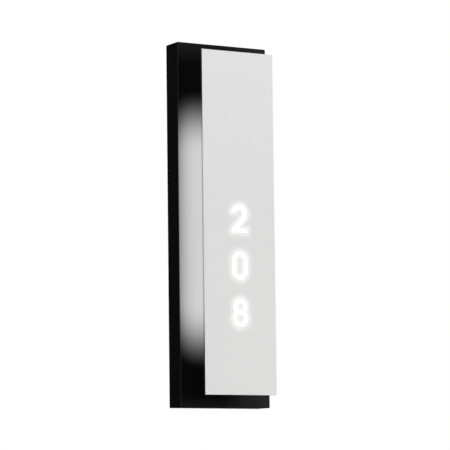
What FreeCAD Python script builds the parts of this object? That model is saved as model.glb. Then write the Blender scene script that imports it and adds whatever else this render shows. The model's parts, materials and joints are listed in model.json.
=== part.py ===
"""Room number wall light: a shallow black case, a light box and a numbered plate in front of it.

Millimetres. X runs to the right, Y into the wall and Z up. The origin is the centre of the wall plane.
A depth is a distance out from the wall, along -Y.
"""
import FreeCAD, Part
import Sketcher
import math
import os
import re
from types import SimpleNamespace

SIZES = {
    # Folded case
    "case_width": 112.0,
    "case_height": 400.0,
    "case_depth": 26.0,
    "case_wall": 1.5,
    "case_edge_radius": 1.0,
    "case_rim_gap": 0.5,
    # Folded tray on the wall
    "tray_wall": 1.5,
    "tray_flange": 13.0,
    "tray_side_gap": 0.8,
    "tray_corner_gap": 2.0,
    "wall_slot_spacing_x": 76.0,
    "wall_slot_spacing_z": 340.0,
    "wall_slot_length": 10.0,
    "wall_slot_width": 5.0,
    "box_slot_spacing": 60.3,
    "box_slot_length": 9.0,
    "box_slot_width": 4.5,
    # Cable entry and its rubber bush
    "entry_height": 112.0,
    "grommet_bore": 14.0,
    "grommet_wall": 3.0,
    "grommet_flange_width": 3.0,
    "grommet_flange_thickness": 1.6,
    "grommet_collar_length": 5.0,
    "fit_gap": 0.1,
    # Grub screws that hold the case, and what they bear on
    "grub_diameter": 4.0,
    "grub_depth": 7.0,
    "grub_length": 9.7,
    "grub_socket_width": 2.0,
    "grub_socket_depth": 2.5,
    "thread_gap": 0.05,
    "weld_nut_width": 7.0,
    "weld_nut_thickness": 3.2,
    "notch_gap": 1.0,
    "catch_width": 16.0,
    "catch_wall": 1.5,
    "catch_height": 12.0,
    "catch_foot": 5.0,
    # Terminal block with three clamping levers
    "terminal_base_height": 45.0,
    "terminal_length": 22.0,
    "terminal_depth": 12.0,
    "terminal_pitch": 10.0,
    "terminal_end_wall": 1.0,
    "terminal_lug_width": 7.0,
    "terminal_lug_length": 9.0,
    "lug_thickness": 3.0,
    "wire_hole_diameter": 3.4,
    "wire_hole_depth": 4.6,
    "contact_strip_width": 5.0,
    "contact_strip_thickness": 1.0,
    "contact_pocket_depth": 5.0,
    "contact_end_gap": 3.0,
    "lever_width": 6.0,
    "lever_reach": 11.0,
    "lever_thickness": 2.0,
    "lever_barrel_diameter": 3.4,
    "lever_pin_diameter": 1.6,
    "lever_pin_gap": 0.05,
    "lever_gap": 0.4,
    "lever_tab_height": 1.2,
    "lever_tab_length": 1.6,
    # Pan head screws of the inner parts
    "small_thread": 3.0,
    "small_head_diameter": 5.5,
    "small_head_height": 2.2,
    "hex_socket_width": 2.0,
    "hex_socket_depth": 1.1,
    # Earth connection
    "earth_inset": 15.7,
    "earth_height": 22.0,
    "earth_stud_diameter": 4.0,
    "earth_stud_length": 10.5,
    "earth_nut_width": 7.0,
    "earth_nut_thickness": 3.2,
    "earth_washer_diameter": 9.0,
    "earth_washer_thickness": 0.8,
    "earth_tag_diameter": 8.6,
    "earth_tag_thickness": 0.8,
    "earth_tag_reach": 9.5,
    "earth_barrel_diameter": 3.8,
    # Driver that turns mains into low voltage
    "driver_top": 10.0,
    "driver_width": 46.0,
    "driver_length": 110.0,
    "driver_depth": 17.0,
    "driver_wall": 1.6,
    "driver_lug_width": 16.0,
    "driver_lug_length": 9.0,
    "board_thickness": 1.6,
    "board_seat_height": 2.0,
    "board_edge_gap": 0.5,
    "transformer_width": 22.0,
    "transformer_length": 24.0,
    "transformer_height": 8.0,
    "capacitor_diameter": 7.5,
    "capacitor_length": 15.0,
    # Leads
    "mains_lead_diameter": 2.6,
    "low_lead_diameter": 1.8,
    "mains_entry_depth": 9.0,
    "low_lead_depth": 9.0,
    "low_lead_spacing": 8.0,
    "lead_hole_gap": 0.3,
    "clip_length": 6.0,
    "clip_wall": 2.0,
    # Plug connection between the tray and the case
    "socket_rise": 26.0,
    "socket_width": 18.0,
    "socket_length": 12.0,
    "socket_depth": 12.0,
    "socket_lug_width": 7.0,
    "pin_spacing": 8.0,
    "pin_diameter": 1.6,
    "pin_gap": 0.35,
    "contact_wall": 0.4,
    "contact_length": 8.0,
    "plug_face_gap": 1.5,
    "pin_reach": 6.0,
    "plug_lug_thickness": 2.5,
    # Leads on the case, from the plug to the light box
    "led_lead_depth": 20.0,
    "led_lead_low_depth": 13.0,
    "led_lead_spacing": 3.2,
    "lead_entry_rise": 7.0,
    "lead_grommet_bore": 6.0,
    "lead_grommet_wall": 1.5,
    "lead_grommet_flange": 1.5,
    # Light box
    "box_length": 236.0,
    "end_cap_thickness": 2.0,
    "diffuser_width": 52.0,
    "diffuser_wall": 2.0,
    "digit_panel_thickness": 2.0,
    "digit_panel_width": 40.0,
    "digit_panel_margin": 8.0,
    "base_width": 44.0,
    "base_wall": 1.2,
    "base_lip": 8.0,
    "clip_rib_thickness": 2.0,
    "clip_rib_depth": 3.5,
    "carrier_length": 210.0,
    "carrier_width": 24.0,
    "carrier_depth": 12.0,
    "carrier_wall": 1.5,
    "carrier_foot": 8.0,
    "front_board_width": 20.0,
    "side_board_width": 7.0,
    "led_board_margin": 1.0,
    "led_pitch": 15.0,
    "led_count": 13,
    "led_width": 2.8,
    "led_length": 3.5,
    "led_height": 0.8,
    "link_width": 5.0,
    "link_thickness": 0.3,
    "box_screw_spacing": 176.0,
    "box_nut_width": 5.5,
    "box_nut_thickness": 2.4,
    "screw_overrun": 0.8,
    # Plate in front of the light box
    "plate_width": 89.0,
    "plate_height": 375.0,
    "plate_gap": 31.0,
    "core_thickness": 2.2,
    "skin_thickness": 0.8,
    "plate_corner_radius": 0.6,
    "standoff_spacing_x": 36.0,
    "standoff_spacing_z": 310.0,
    "standoff_diameter": 8.0,
    "standoff_thread": 4.0,
    "standoff_head_diameter": 8.0,
    "standoff_head_height": 2.6,
    "standoff_screw_reach": 8.0,
    "stud_reach": 10.0,
    "stud_seat": 1.5,
    # Numerals
    "digit_width": 21.6,
    "digit_height": 33.0,
    "digit_stroke": 7.6,
    "digit_bar": 7.0,
    "digit_upper_bowl": 19.8,
    "digit_pitch": 51.3,
    "first_digit_height": 3.8,
    "digit_gap": 0.1,
}

DIGIT_DIAGONAL_DEGREES = 40.0
LEAD_ARC_SHARE = 0.45
HEX_SIDES = 6

# Depths and heights that several pieces share, as formulas of the sheet
CASE_INSIDE = "(case_depth - case_wall)"
PLATE_BACK = "(case_depth + plate_gap)"
CORE_FRONT = "(case_depth + plate_gap + core_thickness)"
PLATE_FRONT = "(case_depth + plate_gap + core_thickness + skin_thickness)"
DIFFUSER_FRONT = "(case_depth + plate_gap - digit_panel_thickness)"
TRAY_HALF_WIDTH = "(case_width / 2 - case_wall - tray_side_gap)"
TRAY_HALF_HEIGHT = "(case_height / 2 - case_wall - tray_side_gap)"
TERMINAL_HALF_WIDTH = "(1.5 * terminal_pitch + terminal_end_wall)"
TERMINAL_FRONT = "(tray_wall + terminal_depth)"
TERMINAL_TOP = "(terminal_base_height + terminal_length)"
WIRE_DEPTH = "(tray_wall + contact_pocket_depth - contact_strip_thickness - wire_hole_diameter / 2)"
LEVER_PIVOT_DEPTH = "(tray_wall + terminal_depth - lever_barrel_diameter / 2)"
LEVER_PIVOT_HEIGHT = "(terminal_base_height + terminal_length - lever_barrel_diameter)"
DRIVER_FRONT = "(tray_wall + driver_depth)"
DRIVER_BOTTOM = "(driver_top - driver_length)"
SOCKET_FRONT = "(tray_wall + socket_depth)"
SOCKET_HEIGHT = "(socket_rise - case_height / 2)"
SOCKET_TOP = f"({SOCKET_HEIGHT} + socket_length / 2)"
TRAY_CLIP_HEIGHT = f"(({DRIVER_BOTTOM} - driver_lug_length + {SOCKET_TOP}) / 2)"
CASE_CLIP_HEIGHT = f"({SOCKET_TOP} + 1.5 * clip_length)"
LEAD_ENTRY_HEIGHT = "(lead_entry_rise - box_length / 2)"
EARTH_X = f"({TRAY_HALF_WIDTH} - earth_inset)"
PLUG_FACE = "(tray_wall + socket_depth + plug_face_gap)"
CARRIER_FRONT = "(case_depth + base_wall + carrier_depth)"
BASE_FRONT = "(case_depth + base_wall)"
HALF_BOX = "(box_length / 2)"

DEPTH_TURN = FreeCAD.Rotation(FreeCAD.Vector(1, 0, 0), 90)
X_TURN = FreeCAD.Rotation(FreeCAD.Vector(0, 1, 0), 90)
AXIS_TURNS = {"depth": DEPTH_TURN, "x": X_TURN, "z": FreeCAD.Rotation()}
PLANE_ROLES = {"front": "XZ_Plane", "top": "XY_Plane"}

doc = FreeCAD.newDocument("room_number_wall_light")
nodes = []


def make_sheet():
    """Writes the driving dimensions into the sheet and returns them as numbers."""
    sheet = doc.addObject("Spreadsheet::Sheet", "sizes")
    for row, (name, size) in enumerate(SIZES.items(), start=1):
        sheet.set(f"A{row}", name)
        sheet.set(f"B{row}", str(size))
        sheet.setAlias(f"B{row}", name)
    doc.recompute()
    return SimpleNamespace(**{name: float(sheet.get(name)) for name in SIZES})


s = make_sheet()


def formula(text):
    """Returns the text with the sheet's name before every alias in it."""
    return re.sub(r"[a-z_]+", lambda word: f"sizes.{word[0]}" if word[0] in SIZES else word[0], text)


def bind(piece, place, text):
    """Binds one property of a piece to a formula of the sheet."""
    piece.setExpression(place, formula(text))


def node(piece):
    """Keeps a finished sub-part for export."""
    nodes.append(piece)
    return piece


# Primitives and booleans

def block(name, x, depth, z):
    """A box between two places on each axis."""
    piece = doc.addObject("Part::Box", name)
    bind(piece, "Length", f"({x[1]}) - ({x[0]})")
    bind(piece, "Width", f"({depth[1]}) - ({depth[0]})")
    bind(piece, "Height", f"({z[1]}) - ({z[0]})")
    bind(piece, "Placement.Base.x", x[0])
    bind(piece, "Placement.Base.y", f"-({depth[1]})")
    bind(piece, "Placement.Base.z", z[0])
    return piece


def lie_along(piece, axis, centre, span):
    """Lays a round or six-sided piece along an axis, from span[0] to span[1]."""
    bind(piece, "Height", f"({span[1]}) - ({span[0]})")
    piece.Placement = FreeCAD.Placement(FreeCAD.Vector(), AXIS_TURNS[axis])
    places = {
        "depth": (centre[0], f"-({span[0]})", centre[1]),
        "x": (span[0], f"-({centre[0]})", centre[1]),
        "z": (centre[0], f"-({centre[1]})", span[0]),
    }
    for name, text in zip("xyz", places[axis]):
        bind(piece, f"Placement.Base.{name}", text)


def rod(name, axis, centre, span, diameter):
    """A cylinder along an axis; centre holds its two other places, in the order x, depth, z."""
    piece = doc.addObject("Part::Cylinder", name)
    bind(piece, "Radius", f"({diameter}) / 2")
    lie_along(piece, axis, centre, span)
    return piece


def hexagon(name, axis, centre, span, width):
    """A six-sided prism along an axis, with its width across flats."""
    piece = doc.addObject("Part::Prism", name)
    piece.Polygon = HEX_SIDES
    bind(piece, "Circumradius", f"({width}) / sqrt(3)")
    lie_along(piece, axis, centre, span)
    return piece


def fuse(label, *parts):
    """One solid from several that touch."""
    piece = doc.addObject("Part::MultiFuse", label)
    piece.Shapes = list(parts)
    piece.Refine = True
    return piece


def group(label, *parts):
    """Separate solids in one node."""
    piece = doc.addObject("Part::Compound", label)
    piece.Links = list(parts)
    return piece


def cut(label, base, *tools):
    """The base without the tools."""
    piece = doc.addObject("Part::Cut", label)
    piece.Base = base
    piece.Tool = tools[0] if len(tools) == 1 else group(f"{label}_tools", *tools)
    return piece


def shape_piece(label, shape):
    """A piece whose shape comes from Part's own functions."""
    piece = doc.addObject("Part::Feature", label)
    piece.Shape = shape
    return piece


# Sketched bodies

def rectangle(x, y):
    """A rectangle for a sketch, between two places on each of its axes."""
    def draw(sketch):
        first = sketch.GeometryCount
        corners = [FreeCAD.Vector(-1, -1, 0), FreeCAD.Vector(1, -1, 0)]
        corners += [FreeCAD.Vector(1, 1, 0), FreeCAD.Vector(-1, 1, 0)]
        for side in range(4):
            sketch.addGeometry(Part.LineSegment(corners[side], corners[(side + 1) % 4]))
        for side in range(4):
            next_side = first + (side + 1) % 4
            sketch.addConstraint(Sketcher.Constraint("Coincident", first + side, 2, next_side, 1))
        for side in (0, 2):
            sketch.addConstraint(Sketcher.Constraint("Horizontal", first + side))
            sketch.addConstraint(Sketcher.Constraint("Vertical", first + side + 1))
        for kind, texts in (("DistanceX", x), ("DistanceY", y)):
            for corner, start, text in ((0, -1, texts[0]), (2, 1, texts[1])):
                index = sketch.addConstraint(Sketcher.Constraint(kind, -1, 1, first + corner, 1, start))
                bind(sketch, f"Constraints[{index}]", text)
    return draw


def circle(x, y, diameter):
    """A circle for a sketch, by its centre and diameter."""
    def draw(sketch):
        curve = sketch.addGeometry(Part.Circle(FreeCAD.Vector(), FreeCAD.Vector(0, 0, 1), 1))
        for kind, text in (("DistanceX", x), ("DistanceY", y)):
            index = sketch.addConstraint(Sketcher.Constraint(kind, -1, 1, curve, 3, 1))
            bind(sketch, f"Constraints[{index}]", text)
        index = sketch.addConstraint(Sketcher.Constraint("Radius", curve, 1))
        bind(sketch, f"Constraints[{index}]", f"({diameter}) / 2")
    return draw


class DesignBody:
    """A body that grows by pads and pockets drawn on its own origin planes."""

    def __init__(self, label):
        self.label = label
        self.body = doc.addObject("PartDesign::Body", label)

    def sketch(self, plane, offset, outlines):
        """A sketch parallel to the wall (front) or level (top), at an offset along its normal."""
        sketch = self.body.newObject("Sketcher::SketchObject", f"{self.label}_sketch")
        planes = self.body.Origin.OriginFeatures
        origin_plane = next(item for item in planes if item.Role == PLANE_ROLES[plane])
        sketch.AttachmentSupport = [(origin_plane, "")]
        sketch.MapMode = "FlatFace"
        bind(sketch, "AttachmentOffset.Base.z", offset)
        for outline in outlines:
            outline(sketch)
        return sketch

    def pad(self, plane, span, *outlines):
        """Adds material between two offsets."""
        feature = self.body.newObject("PartDesign::Pad", f"{self.label}_pad")
        feature.Profile = self.sketch(plane, span[0], outlines)
        bind(feature, "Length", f"({span[1]}) - ({span[0]})")
        self.body.Tip = feature
        return self

    def pocket(self, plane, span, *outlines):
        """Takes material away between two offsets."""
        feature = self.body.newObject("PartDesign::Pocket", f"{self.label}_pocket")
        feature.Profile = self.sketch(plane, span[1], outlines)
        bind(feature, "Length", f"({span[1]}) - ({span[0]})")
        self.body.Tip = feature
        return self

    def fillet(self, radius, wanted):
        """Rounds the edges that the test picks."""
        doc.recompute()
        base = self.body.Tip
        names = [f"Edge{index}" for index, edge in enumerate(base.Shape.Edges, start=1) if wanted(edge)]
        feature = self.body.newObject("PartDesign::Fillet", f"{self.label}_fillet")
        feature.Base = (base, names)
        bind(feature, "Radius", radius)
        self.body.Tip = feature
        return self


def both(text):
    """A formula and its negative, as a span about zero."""
    return (f"-({text})", f"({text})")


def four_places(spacing_x, spacing_z):
    """The corners of a rectangle about the origin, as formulas."""
    half_x = both(f"({spacing_x}) / 2")
    half_z = both(f"({spacing_z}) / 2")
    return [(x, z) for x in half_x for z in half_z]


def slot_outlines(x, z, length, width):
    """The middle and the two round ends of a level slot, for two pockets."""
    reach = f"(({length}) - ({width})) / 2"
    middle = rectangle((f"{x} - {reach}", f"{x} + {reach}"), (f"{z} - ({width}) / 2", f"{z} + ({width}) / 2"))
    ends = [circle(f"{x} {sign} {reach}", z, width) for sign in "+-"]
    return middle, ends


def cut_slots(body, places, length, width):
    """Cuts level slots through the tray's back."""
    slots = [slot_outlines(x, z, length, width) for x, z in places]
    body.pocket("front", ("0", "tray_wall"), *[middle for middle, ends in slots])
    for side in (0, 1):
        body.pocket("front", ("0", "tray_wall"), *[ends[side] for middle, ends in slots])


def pan_screw(name, place, seat, tip, outward):
    """A small pan head screw along the depth axis, its head on the outer or the wall side of its seat."""
    if outward:
        head_span = (seat, f"{seat} + small_head_height")
        socket_span = (f"{seat} + small_head_height - hex_socket_depth", f"{seat} + small_head_height")
        shank_span = (tip, seat)
    else:
        head_span = (f"{seat} - small_head_height", seat)
        socket_span = (f"{seat} - small_head_height", f"{seat} - small_head_height + hex_socket_depth")
        shank_span = (seat, tip)
    head = rod(f"{name}_head", "depth", place, head_span, "small_head_diameter")
    shank = rod(f"{name}_shank", "depth", place, shank_span, "small_thread")
    socket = hexagon(f"{name}_socket", "depth", place, socket_span, "hex_socket_width")
    return cut(f"{name}_one", fuse(f"{name}_blank", head, shank), socket)


def tube(label, routes, diameter):
    """Round leads along straight runs joined by tangent arcs; a point is x, depth, z."""
    solids = []
    for route in routes:
        points = [FreeCAD.Vector(x, -depth, z) for x, depth, z in route]
        edges = []
        start = points[0]
        for before, corner, after in zip(points, points[1:], points[2:]):
            come = (corner - before).normalize()
            leave = (after - corner).normalize()
            turn = come.getAngle(leave)
            reach = LEAD_ARC_SHARE * min((corner - before).Length, (after - corner).Length)
            radius = reach / math.tan(turn / 2)
            first = corner - come * reach
            last = corner + leave * reach
            towards = (leave - come).normalize()
            middle = corner + towards * (radius / math.cos(turn / 2) - radius)
            edges.append(Part.LineSegment(start, first).toShape())
            edges.append(Part.Arc(first, middle, last).toShape())
            start = last
            print(f"{label}: radius {radius:.1f} at {tuple(round(value, 1) for value in corner)}")
        edges.append(Part.LineSegment(start, points[-1]).toShape())
        path = Part.Wire(edges)
        section = Part.Wire(Part.makeCircle(diameter / 2, points[0], points[1] - points[0]))
        solid = path.makePipeShell([section], True, False)
        expected = math.pi * diameter ** 2 / 4 * path.Length
        print(f"{label}: volume {solid.Volume:.1f}, section times length {expected:.1f}")
        solids.append(solid)
    return node(shape_piece(label, solids[0] if len(solids) == 1 else Part.makeCompound(solids)))


# Numerals, drawn in the XZ plane about their own centre

def flat_point(x, z):
    """A point of a numeral's outline."""
    return FreeCAD.Vector(x, 0, z)


def outline_face(edges):
    """A flat face inside a closed outline."""
    return Part.Face(Part.Wire([edge.toShape() for edge in edges]))


def stadium(width, height):
    """An upright slot shape with round ends."""
    radius = width / 2
    rise = height / 2 - radius
    return outline_face([
        Part.Arc(flat_point(-radius, rise), flat_point(0, height / 2), flat_point(radius, rise)),
        Part.LineSegment(flat_point(radius, rise), flat_point(radius, -rise)),
        Part.Arc(flat_point(radius, -rise), flat_point(0, -height / 2), flat_point(-radius, -rise)),
        Part.LineSegment(flat_point(-radius, -rise), flat_point(-radius, rise)),
    ])


def disc(radius, height):
    """A round face with its centre at a height."""
    ring = Part.Circle(flat_point(0, height), FreeCAD.Vector(0, 1, 0), radius)
    return outline_face([ring])


def two_face():
    """A two: an arc over the top, a straight diagonal that leaves it in line, and a bar."""
    half = s.digit_width / 2
    inner = half - s.digit_stroke
    rise = s.digit_height / 2 - half
    lean = math.radians(DIGIT_DIAGONAL_DEGREES)
    bar_top = s.digit_bar - s.digit_height / 2
    outer_end = flat_point(half * math.cos(lean), rise - half * math.sin(lean))
    inner_end = flat_point(inner * math.cos(lean), rise - inner * math.sin(lean))
    outer_run = (outer_end.z - bar_top) / math.cos(lean)
    inner_run = (inner_end.x + half) / math.sin(lean)
    bar_corner = flat_point(outer_end.x - outer_run * math.sin(lean), bar_top)
    left_corner = flat_point(-half, inner_end.z - inner_run * math.cos(lean))
    straight = [
        outer_end, bar_corner, flat_point(half, bar_top), flat_point(half, -s.digit_height / 2),
        flat_point(-half, -s.digit_height / 2), left_corner, inner_end,
    ]
    edges = [Part.Arc(flat_point(-half, rise), flat_point(0, rise + half), outer_end)]
    edges += [Part.LineSegment(first, last) for first, last in zip(straight, straight[1:])]
    edges.append(Part.Arc(inner_end, flat_point(0, rise + inner), flat_point(-inner, rise)))
    edges.append(Part.LineSegment(flat_point(-inner, rise), flat_point(-half, rise)))
    return outline_face(edges), []


def zero_face():
    """A zero: an upright slot shape with one counter of the same form."""
    counter = stadium(s.digit_width - 2 * s.digit_stroke, s.digit_height - 2 * s.digit_stroke)
    return stadium(s.digit_width, s.digit_height), [counter]


def eight_face():
    """An eight: two round bowls that overlap at the waist, each with a round counter."""
    upper = s.digit_upper_bowl / 2
    lower = s.digit_width / 2
    upper_height = s.digit_height / 2 - upper
    lower_height = lower - s.digit_height / 2
    distance = upper_height - lower_height
    drop = (distance ** 2 + upper ** 2 - lower ** 2) / (2 * distance)
    waist = math.sqrt(upper ** 2 - drop ** 2)
    left = flat_point(-waist, upper_height - drop)
    right = flat_point(waist, upper_height - drop)
    outer = outline_face([
        Part.Arc(left, flat_point(0, s.digit_height / 2), right),
        Part.Arc(right, flat_point(0, -s.digit_height / 2), left),
    ])
    counters = [disc(upper - s.digit_stroke, upper_height), disc(lower - s.digit_stroke, lower_height)]
    return outer, counters


def raised(face, back, front, height):
    """A face made solid between two depths, at a height on the plate."""
    solid = face.extrude(FreeCAD.Vector(0, back - front, 0))
    solid.translate(FreeCAD.Vector(0, -back, height))
    return solid


# Wall side

def build_tray():
    """The tray's back: wall slots, the cable entry and tapped holes."""
    body = DesignBody("wall_tray")
    body.pad("front", ("0", "tray_wall"), rectangle(both(TRAY_HALF_WIDTH), both(TRAY_HALF_HEIGHT)))
    wall_places = four_places("wall_slot_spacing_x", "wall_slot_spacing_z")
    box_places = [(x, "entry_height") for x in both("box_slot_spacing / 2")]
    cut_slots(body, wall_places, "wall_slot_length", "wall_slot_width")
    cut_slots(body, box_places, "box_slot_length", "box_slot_width")
    thread_hole = "small_thread + 2 * thread_gap"
    tapped = terminal_screw_places() + driver_screw_places() + socket_screw_places()
    body.pocket(
        "front", ("0", "tray_wall"),
        circle("0", "entry_height", "grommet_bore + 2 * grommet_wall + 2 * fit_gap"),
        *[circle(x, z, thread_hole) for x, z in tapped],
    )
    node(body.body)


def build_tray_flanges():
    """The flanges folded up round the tray's back; the end ones are notched for the screws of the case."""
    side_reach = f"{TRAY_HALF_HEIGHT} - tray_corner_gap"
    end_reach = f"{TRAY_HALF_WIDTH} - tray_corner_gap"
    side_wall = f"({TRAY_HALF_WIDTH} - tray_wall)"
    end_wall = f"({TRAY_HALF_HEIGHT} - tray_wall)"
    notch = "(weld_nut_width / 2 + notch_gap)"
    rise = ("tray_wall", "tray_flange")
    flanges = []
    for x in ((side_wall, TRAY_HALF_WIDTH), (f"-{TRAY_HALF_WIDTH}", f"-{side_wall}")):
        flanges.append(block("side_flange", x, rise, both(side_reach)))
    for z in ((end_wall, TRAY_HALF_HEIGHT), (f"-{TRAY_HALF_HEIGHT}", f"-{end_wall}")):
        end_flange = block("end_flange", both(end_reach), rise, z)
        opening = block(
            "flange_notch", both(notch), ("grub_depth - weld_nut_width / 2 - notch_gap", "tray_flange + notch_gap"),
            (f"{z[0]} - notch_gap", f"{z[1]} + notch_gap"),
        )
        flanges.append(cut("end_flange_notched", end_flange, opening))
    node(group("tray_flanges", *flanges))


def build_catches():
    """L brackets welded to the tray, which the grub screws' tips bear on."""
    tip = "(case_height / 2 - grub_length - fit_gap)"
    brackets = []
    for name, sign in (("top", ""), ("bottom", "-")):
        wall_z = (f"{tip} - catch_wall", tip)
        foot_z = (f"{tip} - catch_wall", f"{tip} + catch_foot")
        if sign:
            wall_z = (f"-{tip}", f"-{tip} + catch_wall")
            foot_z = (f"-{tip} - catch_foot", f"-{tip} + catch_wall")
        wall = block(f"{name}_catch_wall", both("catch_width / 2"), ("tray_wall", "catch_height"), wall_z)
        foot_depths = ("tray_wall", "tray_wall + catch_wall")
        foot = block(f"{name}_catch_foot", both("catch_width / 2"), foot_depths, foot_z)
        brackets.append(fuse(f"{name}_catch", wall, foot))
    node(group("tray_catches", *brackets))


def build_grommet():
    """The rubber bush in the cable entry: a sleeve, a flange inside and a collar."""
    place = ("0", "entry_height")
    outer = "(grommet_bore + 2 * grommet_wall)"
    flange_front = "tray_wall + grommet_flange_thickness"
    sleeve = rod("grommet_sleeve", "depth", place, ("0", flange_front), outer)
    flange_width = f"{outer} + 2 * grommet_flange_width"
    flange = rod("grommet_flange", "depth", place, ("tray_wall", flange_front), flange_width)
    collar_front = f"{flange_front} + grommet_collar_length"
    collar = doc.addObject("Part::Cone", "grommet_collar")
    bind(collar, "Radius1", f"{outer} / 2")
    bind(collar, "Radius2", "grommet_bore / 2 + grommet_wall / 2")
    lie_along(collar, "depth", place, (flange_front, collar_front))
    bore = rod("grommet_bore_tool", "depth", place, ("0", collar_front), "grommet_bore")
    node(cut("cable_grommet", fuse("grommet_blank", sleeve, flange, collar), bore))


def terminal_screw_places():
    """The screws in the terminal block's two lugs."""
    reach = f"({TERMINAL_HALF_WIDTH} + terminal_lug_width / 2)"
    return [(x, "terminal_base_height + terminal_length / 2") for x in both(reach)]


def pole_places():
    """The middle of each pole of the terminal block."""
    return ["-(terminal_pitch)", "0", "(terminal_pitch)"]


def lug_outline(half_width, lug_width, middle, length):
    """The plate under a block that makes its two lugs."""
    reach = f"{half_width} + {lug_width}"
    return rectangle(both(reach), (f"{middle} - {length} / 2", f"{middle} + {length} / 2"))


def build_terminal_block():
    """The block with three poles, its contact strips, the levers' pin and its screws."""
    middle = "(terminal_base_height + terminal_length / 2)"
    places = terminal_screw_places()
    clearance_hole = "small_thread + 2 * fit_gap"
    strip_length = ("terminal_base_height + contact_end_gap", f"{TERMINAL_TOP} - contact_end_gap")
    channel = "(lever_width / 2 + lever_gap)"
    strip = "(contact_strip_width / 2)"
    pocket_top = "tray_wall + contact_pocket_depth"
    body = DesignBody("terminal_blank")
    body.pad(
        "front", ("tray_wall", "tray_wall + lug_thickness"),
        lug_outline(TERMINAL_HALF_WIDTH, "terminal_lug_width", middle, "terminal_lug_length"),
    )
    body.pad(
        "front", ("tray_wall", TERMINAL_FRONT),
        rectangle(both(TERMINAL_HALF_WIDTH), ("terminal_base_height", TERMINAL_TOP)),
    )
    body.pocket(
        "front", (f"{LEVER_PIVOT_DEPTH} - lever_barrel_diameter / 2 - lever_gap", TERMINAL_FRONT),
        *[rectangle((f"{x} - {channel}", f"{x} + {channel}"),
                    ("terminal_base_height", f"{LEVER_PIVOT_HEIGHT} + lever_barrel_diameter / 2 + lever_gap"))
          for x in pole_places()],
    )
    body.pocket(
        "front", ("tray_wall", pocket_top),
        *[rectangle((f"{x} - {strip}", f"{x} + {strip}"), strip_length) for x in pole_places()],
    )
    body.pocket(
        "front", ("tray_wall", "tray_wall + lug_thickness"),
        *[circle(x, z, clearance_hole) for x, z in places],
    )
    wires = []
    for index, x in enumerate(pole_places()):
        for end, span in (
            ("supply", (f"{TERMINAL_TOP} - wire_hole_depth", TERMINAL_TOP)),
            ("lead", ("terminal_base_height", "terminal_base_height + wire_hole_depth")),
        ):
            wires.append(rod(f"{end}_hole_{index}", "z", (x, WIRE_DEPTH), span, "wire_hole_diameter"))
    pin_place = (LEVER_PIVOT_DEPTH, LEVER_PIVOT_HEIGHT)
    pin_hole = rod("pin_hole", "x", pin_place, both(TERMINAL_HALF_WIDTH), "lever_pin_diameter")
    node(cut("terminal_block", body.body, *wires, pin_hole))
    strips = [
        block(f"contact_strip_{index}", (f"{x} - {strip}", f"{x} + {strip}"),
              (f"{pocket_top} - contact_strip_thickness", pocket_top), strip_length)
        for index, x in enumerate(pole_places())
    ]
    node(group("terminal_contacts", *strips))
    node(rod("lever_pin", "x", pin_place, both(TERMINAL_HALF_WIDTH), "lever_pin_diameter"))
    screws = [
        pan_screw(f"terminal_screw_{index}", place, "tray_wall + lug_thickness", "0", True)
        for index, place in enumerate(places)
    ]
    node(group("terminal_screws", *screws))


def build_levers():
    """Three levers that turn on the pin; each clamps one supply wire."""
    for label, x in zip(("lever_live", "lever_neutral", "lever_earth"), pole_places()):
        width = (f"{x} - lever_width / 2", f"{x} + lever_width / 2")
        pin_place = (LEVER_PIVOT_DEPTH, LEVER_PIVOT_HEIGHT)
        tip = f"({LEVER_PIVOT_HEIGHT} - lever_reach)"
        barrel = rod(f"{label}_barrel", "x", pin_place, width, "lever_barrel_diameter")
        arm = block(f"{label}_arm", width, (f"{TERMINAL_FRONT} - lever_thickness", TERMINAL_FRONT),
                    (tip, LEVER_PIVOT_HEIGHT))
        tab = block(f"{label}_tab", width, (TERMINAL_FRONT, f"{TERMINAL_FRONT} + lever_tab_height"),
                    (tip, f"{tip} + lever_tab_length"))
        bore = rod(f"{label}_bore", "x", pin_place, width, "lever_pin_diameter + 2 * lever_pin_gap")
        node(cut(label, fuse(f"{label}_blank", barrel, arm, tab), bore))


def build_earth():
    """The earth stud with its nut, washer and ring tag."""
    place = (EARTH_X, "earth_height")
    tag_front = "tray_wall + earth_tag_thickness"
    washer_front = f"{tag_front} + earth_washer_thickness"
    nut_front = f"{washer_front} + earth_nut_thickness"
    hole = "earth_stud_diameter + 2 * thread_gap"
    stud_span = ("tray_wall", "tray_wall + earth_stud_length")
    node(rod("earth_stud", "depth", place, stud_span, "earth_stud_diameter"))
    washer = rod("earth_washer", "depth", place, (tag_front, washer_front), "earth_washer_diameter")
    nut = hexagon("earth_nut_blank", "depth", place, (washer_front, nut_front), "earth_nut_width")
    nut_bore = rod("earth_nut_bore", "depth", place, (tag_front, nut_front), hole)
    node(cut("earth_nut", fuse("earth_nut_and_washer", washer, nut), nut_bore))
    ring = rod("earth_ring", "depth", place, ("tray_wall", tag_front), "earth_tag_diameter")
    barrel_start = f"({EARTH_X} - earth_tag_reach)"
    neck = block("earth_neck", (barrel_start, EARTH_X), ("tray_wall", tag_front),
                 ("earth_height - earth_barrel_diameter / 2", "earth_height + earth_barrel_diameter / 2"))
    barrel_place = ("tray_wall + earth_barrel_diameter / 2", "earth_height")
    barrel_end = f"({EARTH_X} - earth_washer_diameter / 2 - fit_gap)"
    barrel = rod("earth_barrel", "x", barrel_place, (barrel_start, barrel_end), "earth_barrel_diameter")
    ring_bore = rod("earth_ring_bore", "depth", place, ("tray_wall", tag_front), hole)
    node(cut("earth_tag", fuse("earth_tag_blank", ring, neck, barrel), ring_bore))


def driver_screw_places():
    """The screws in the driver's two end lugs."""
    return [
        ("0", "(driver_top + driver_lug_length / 2)"),
        ("0", f"({DRIVER_BOTTOM} - driver_lug_length / 2)"),
    ]


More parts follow.
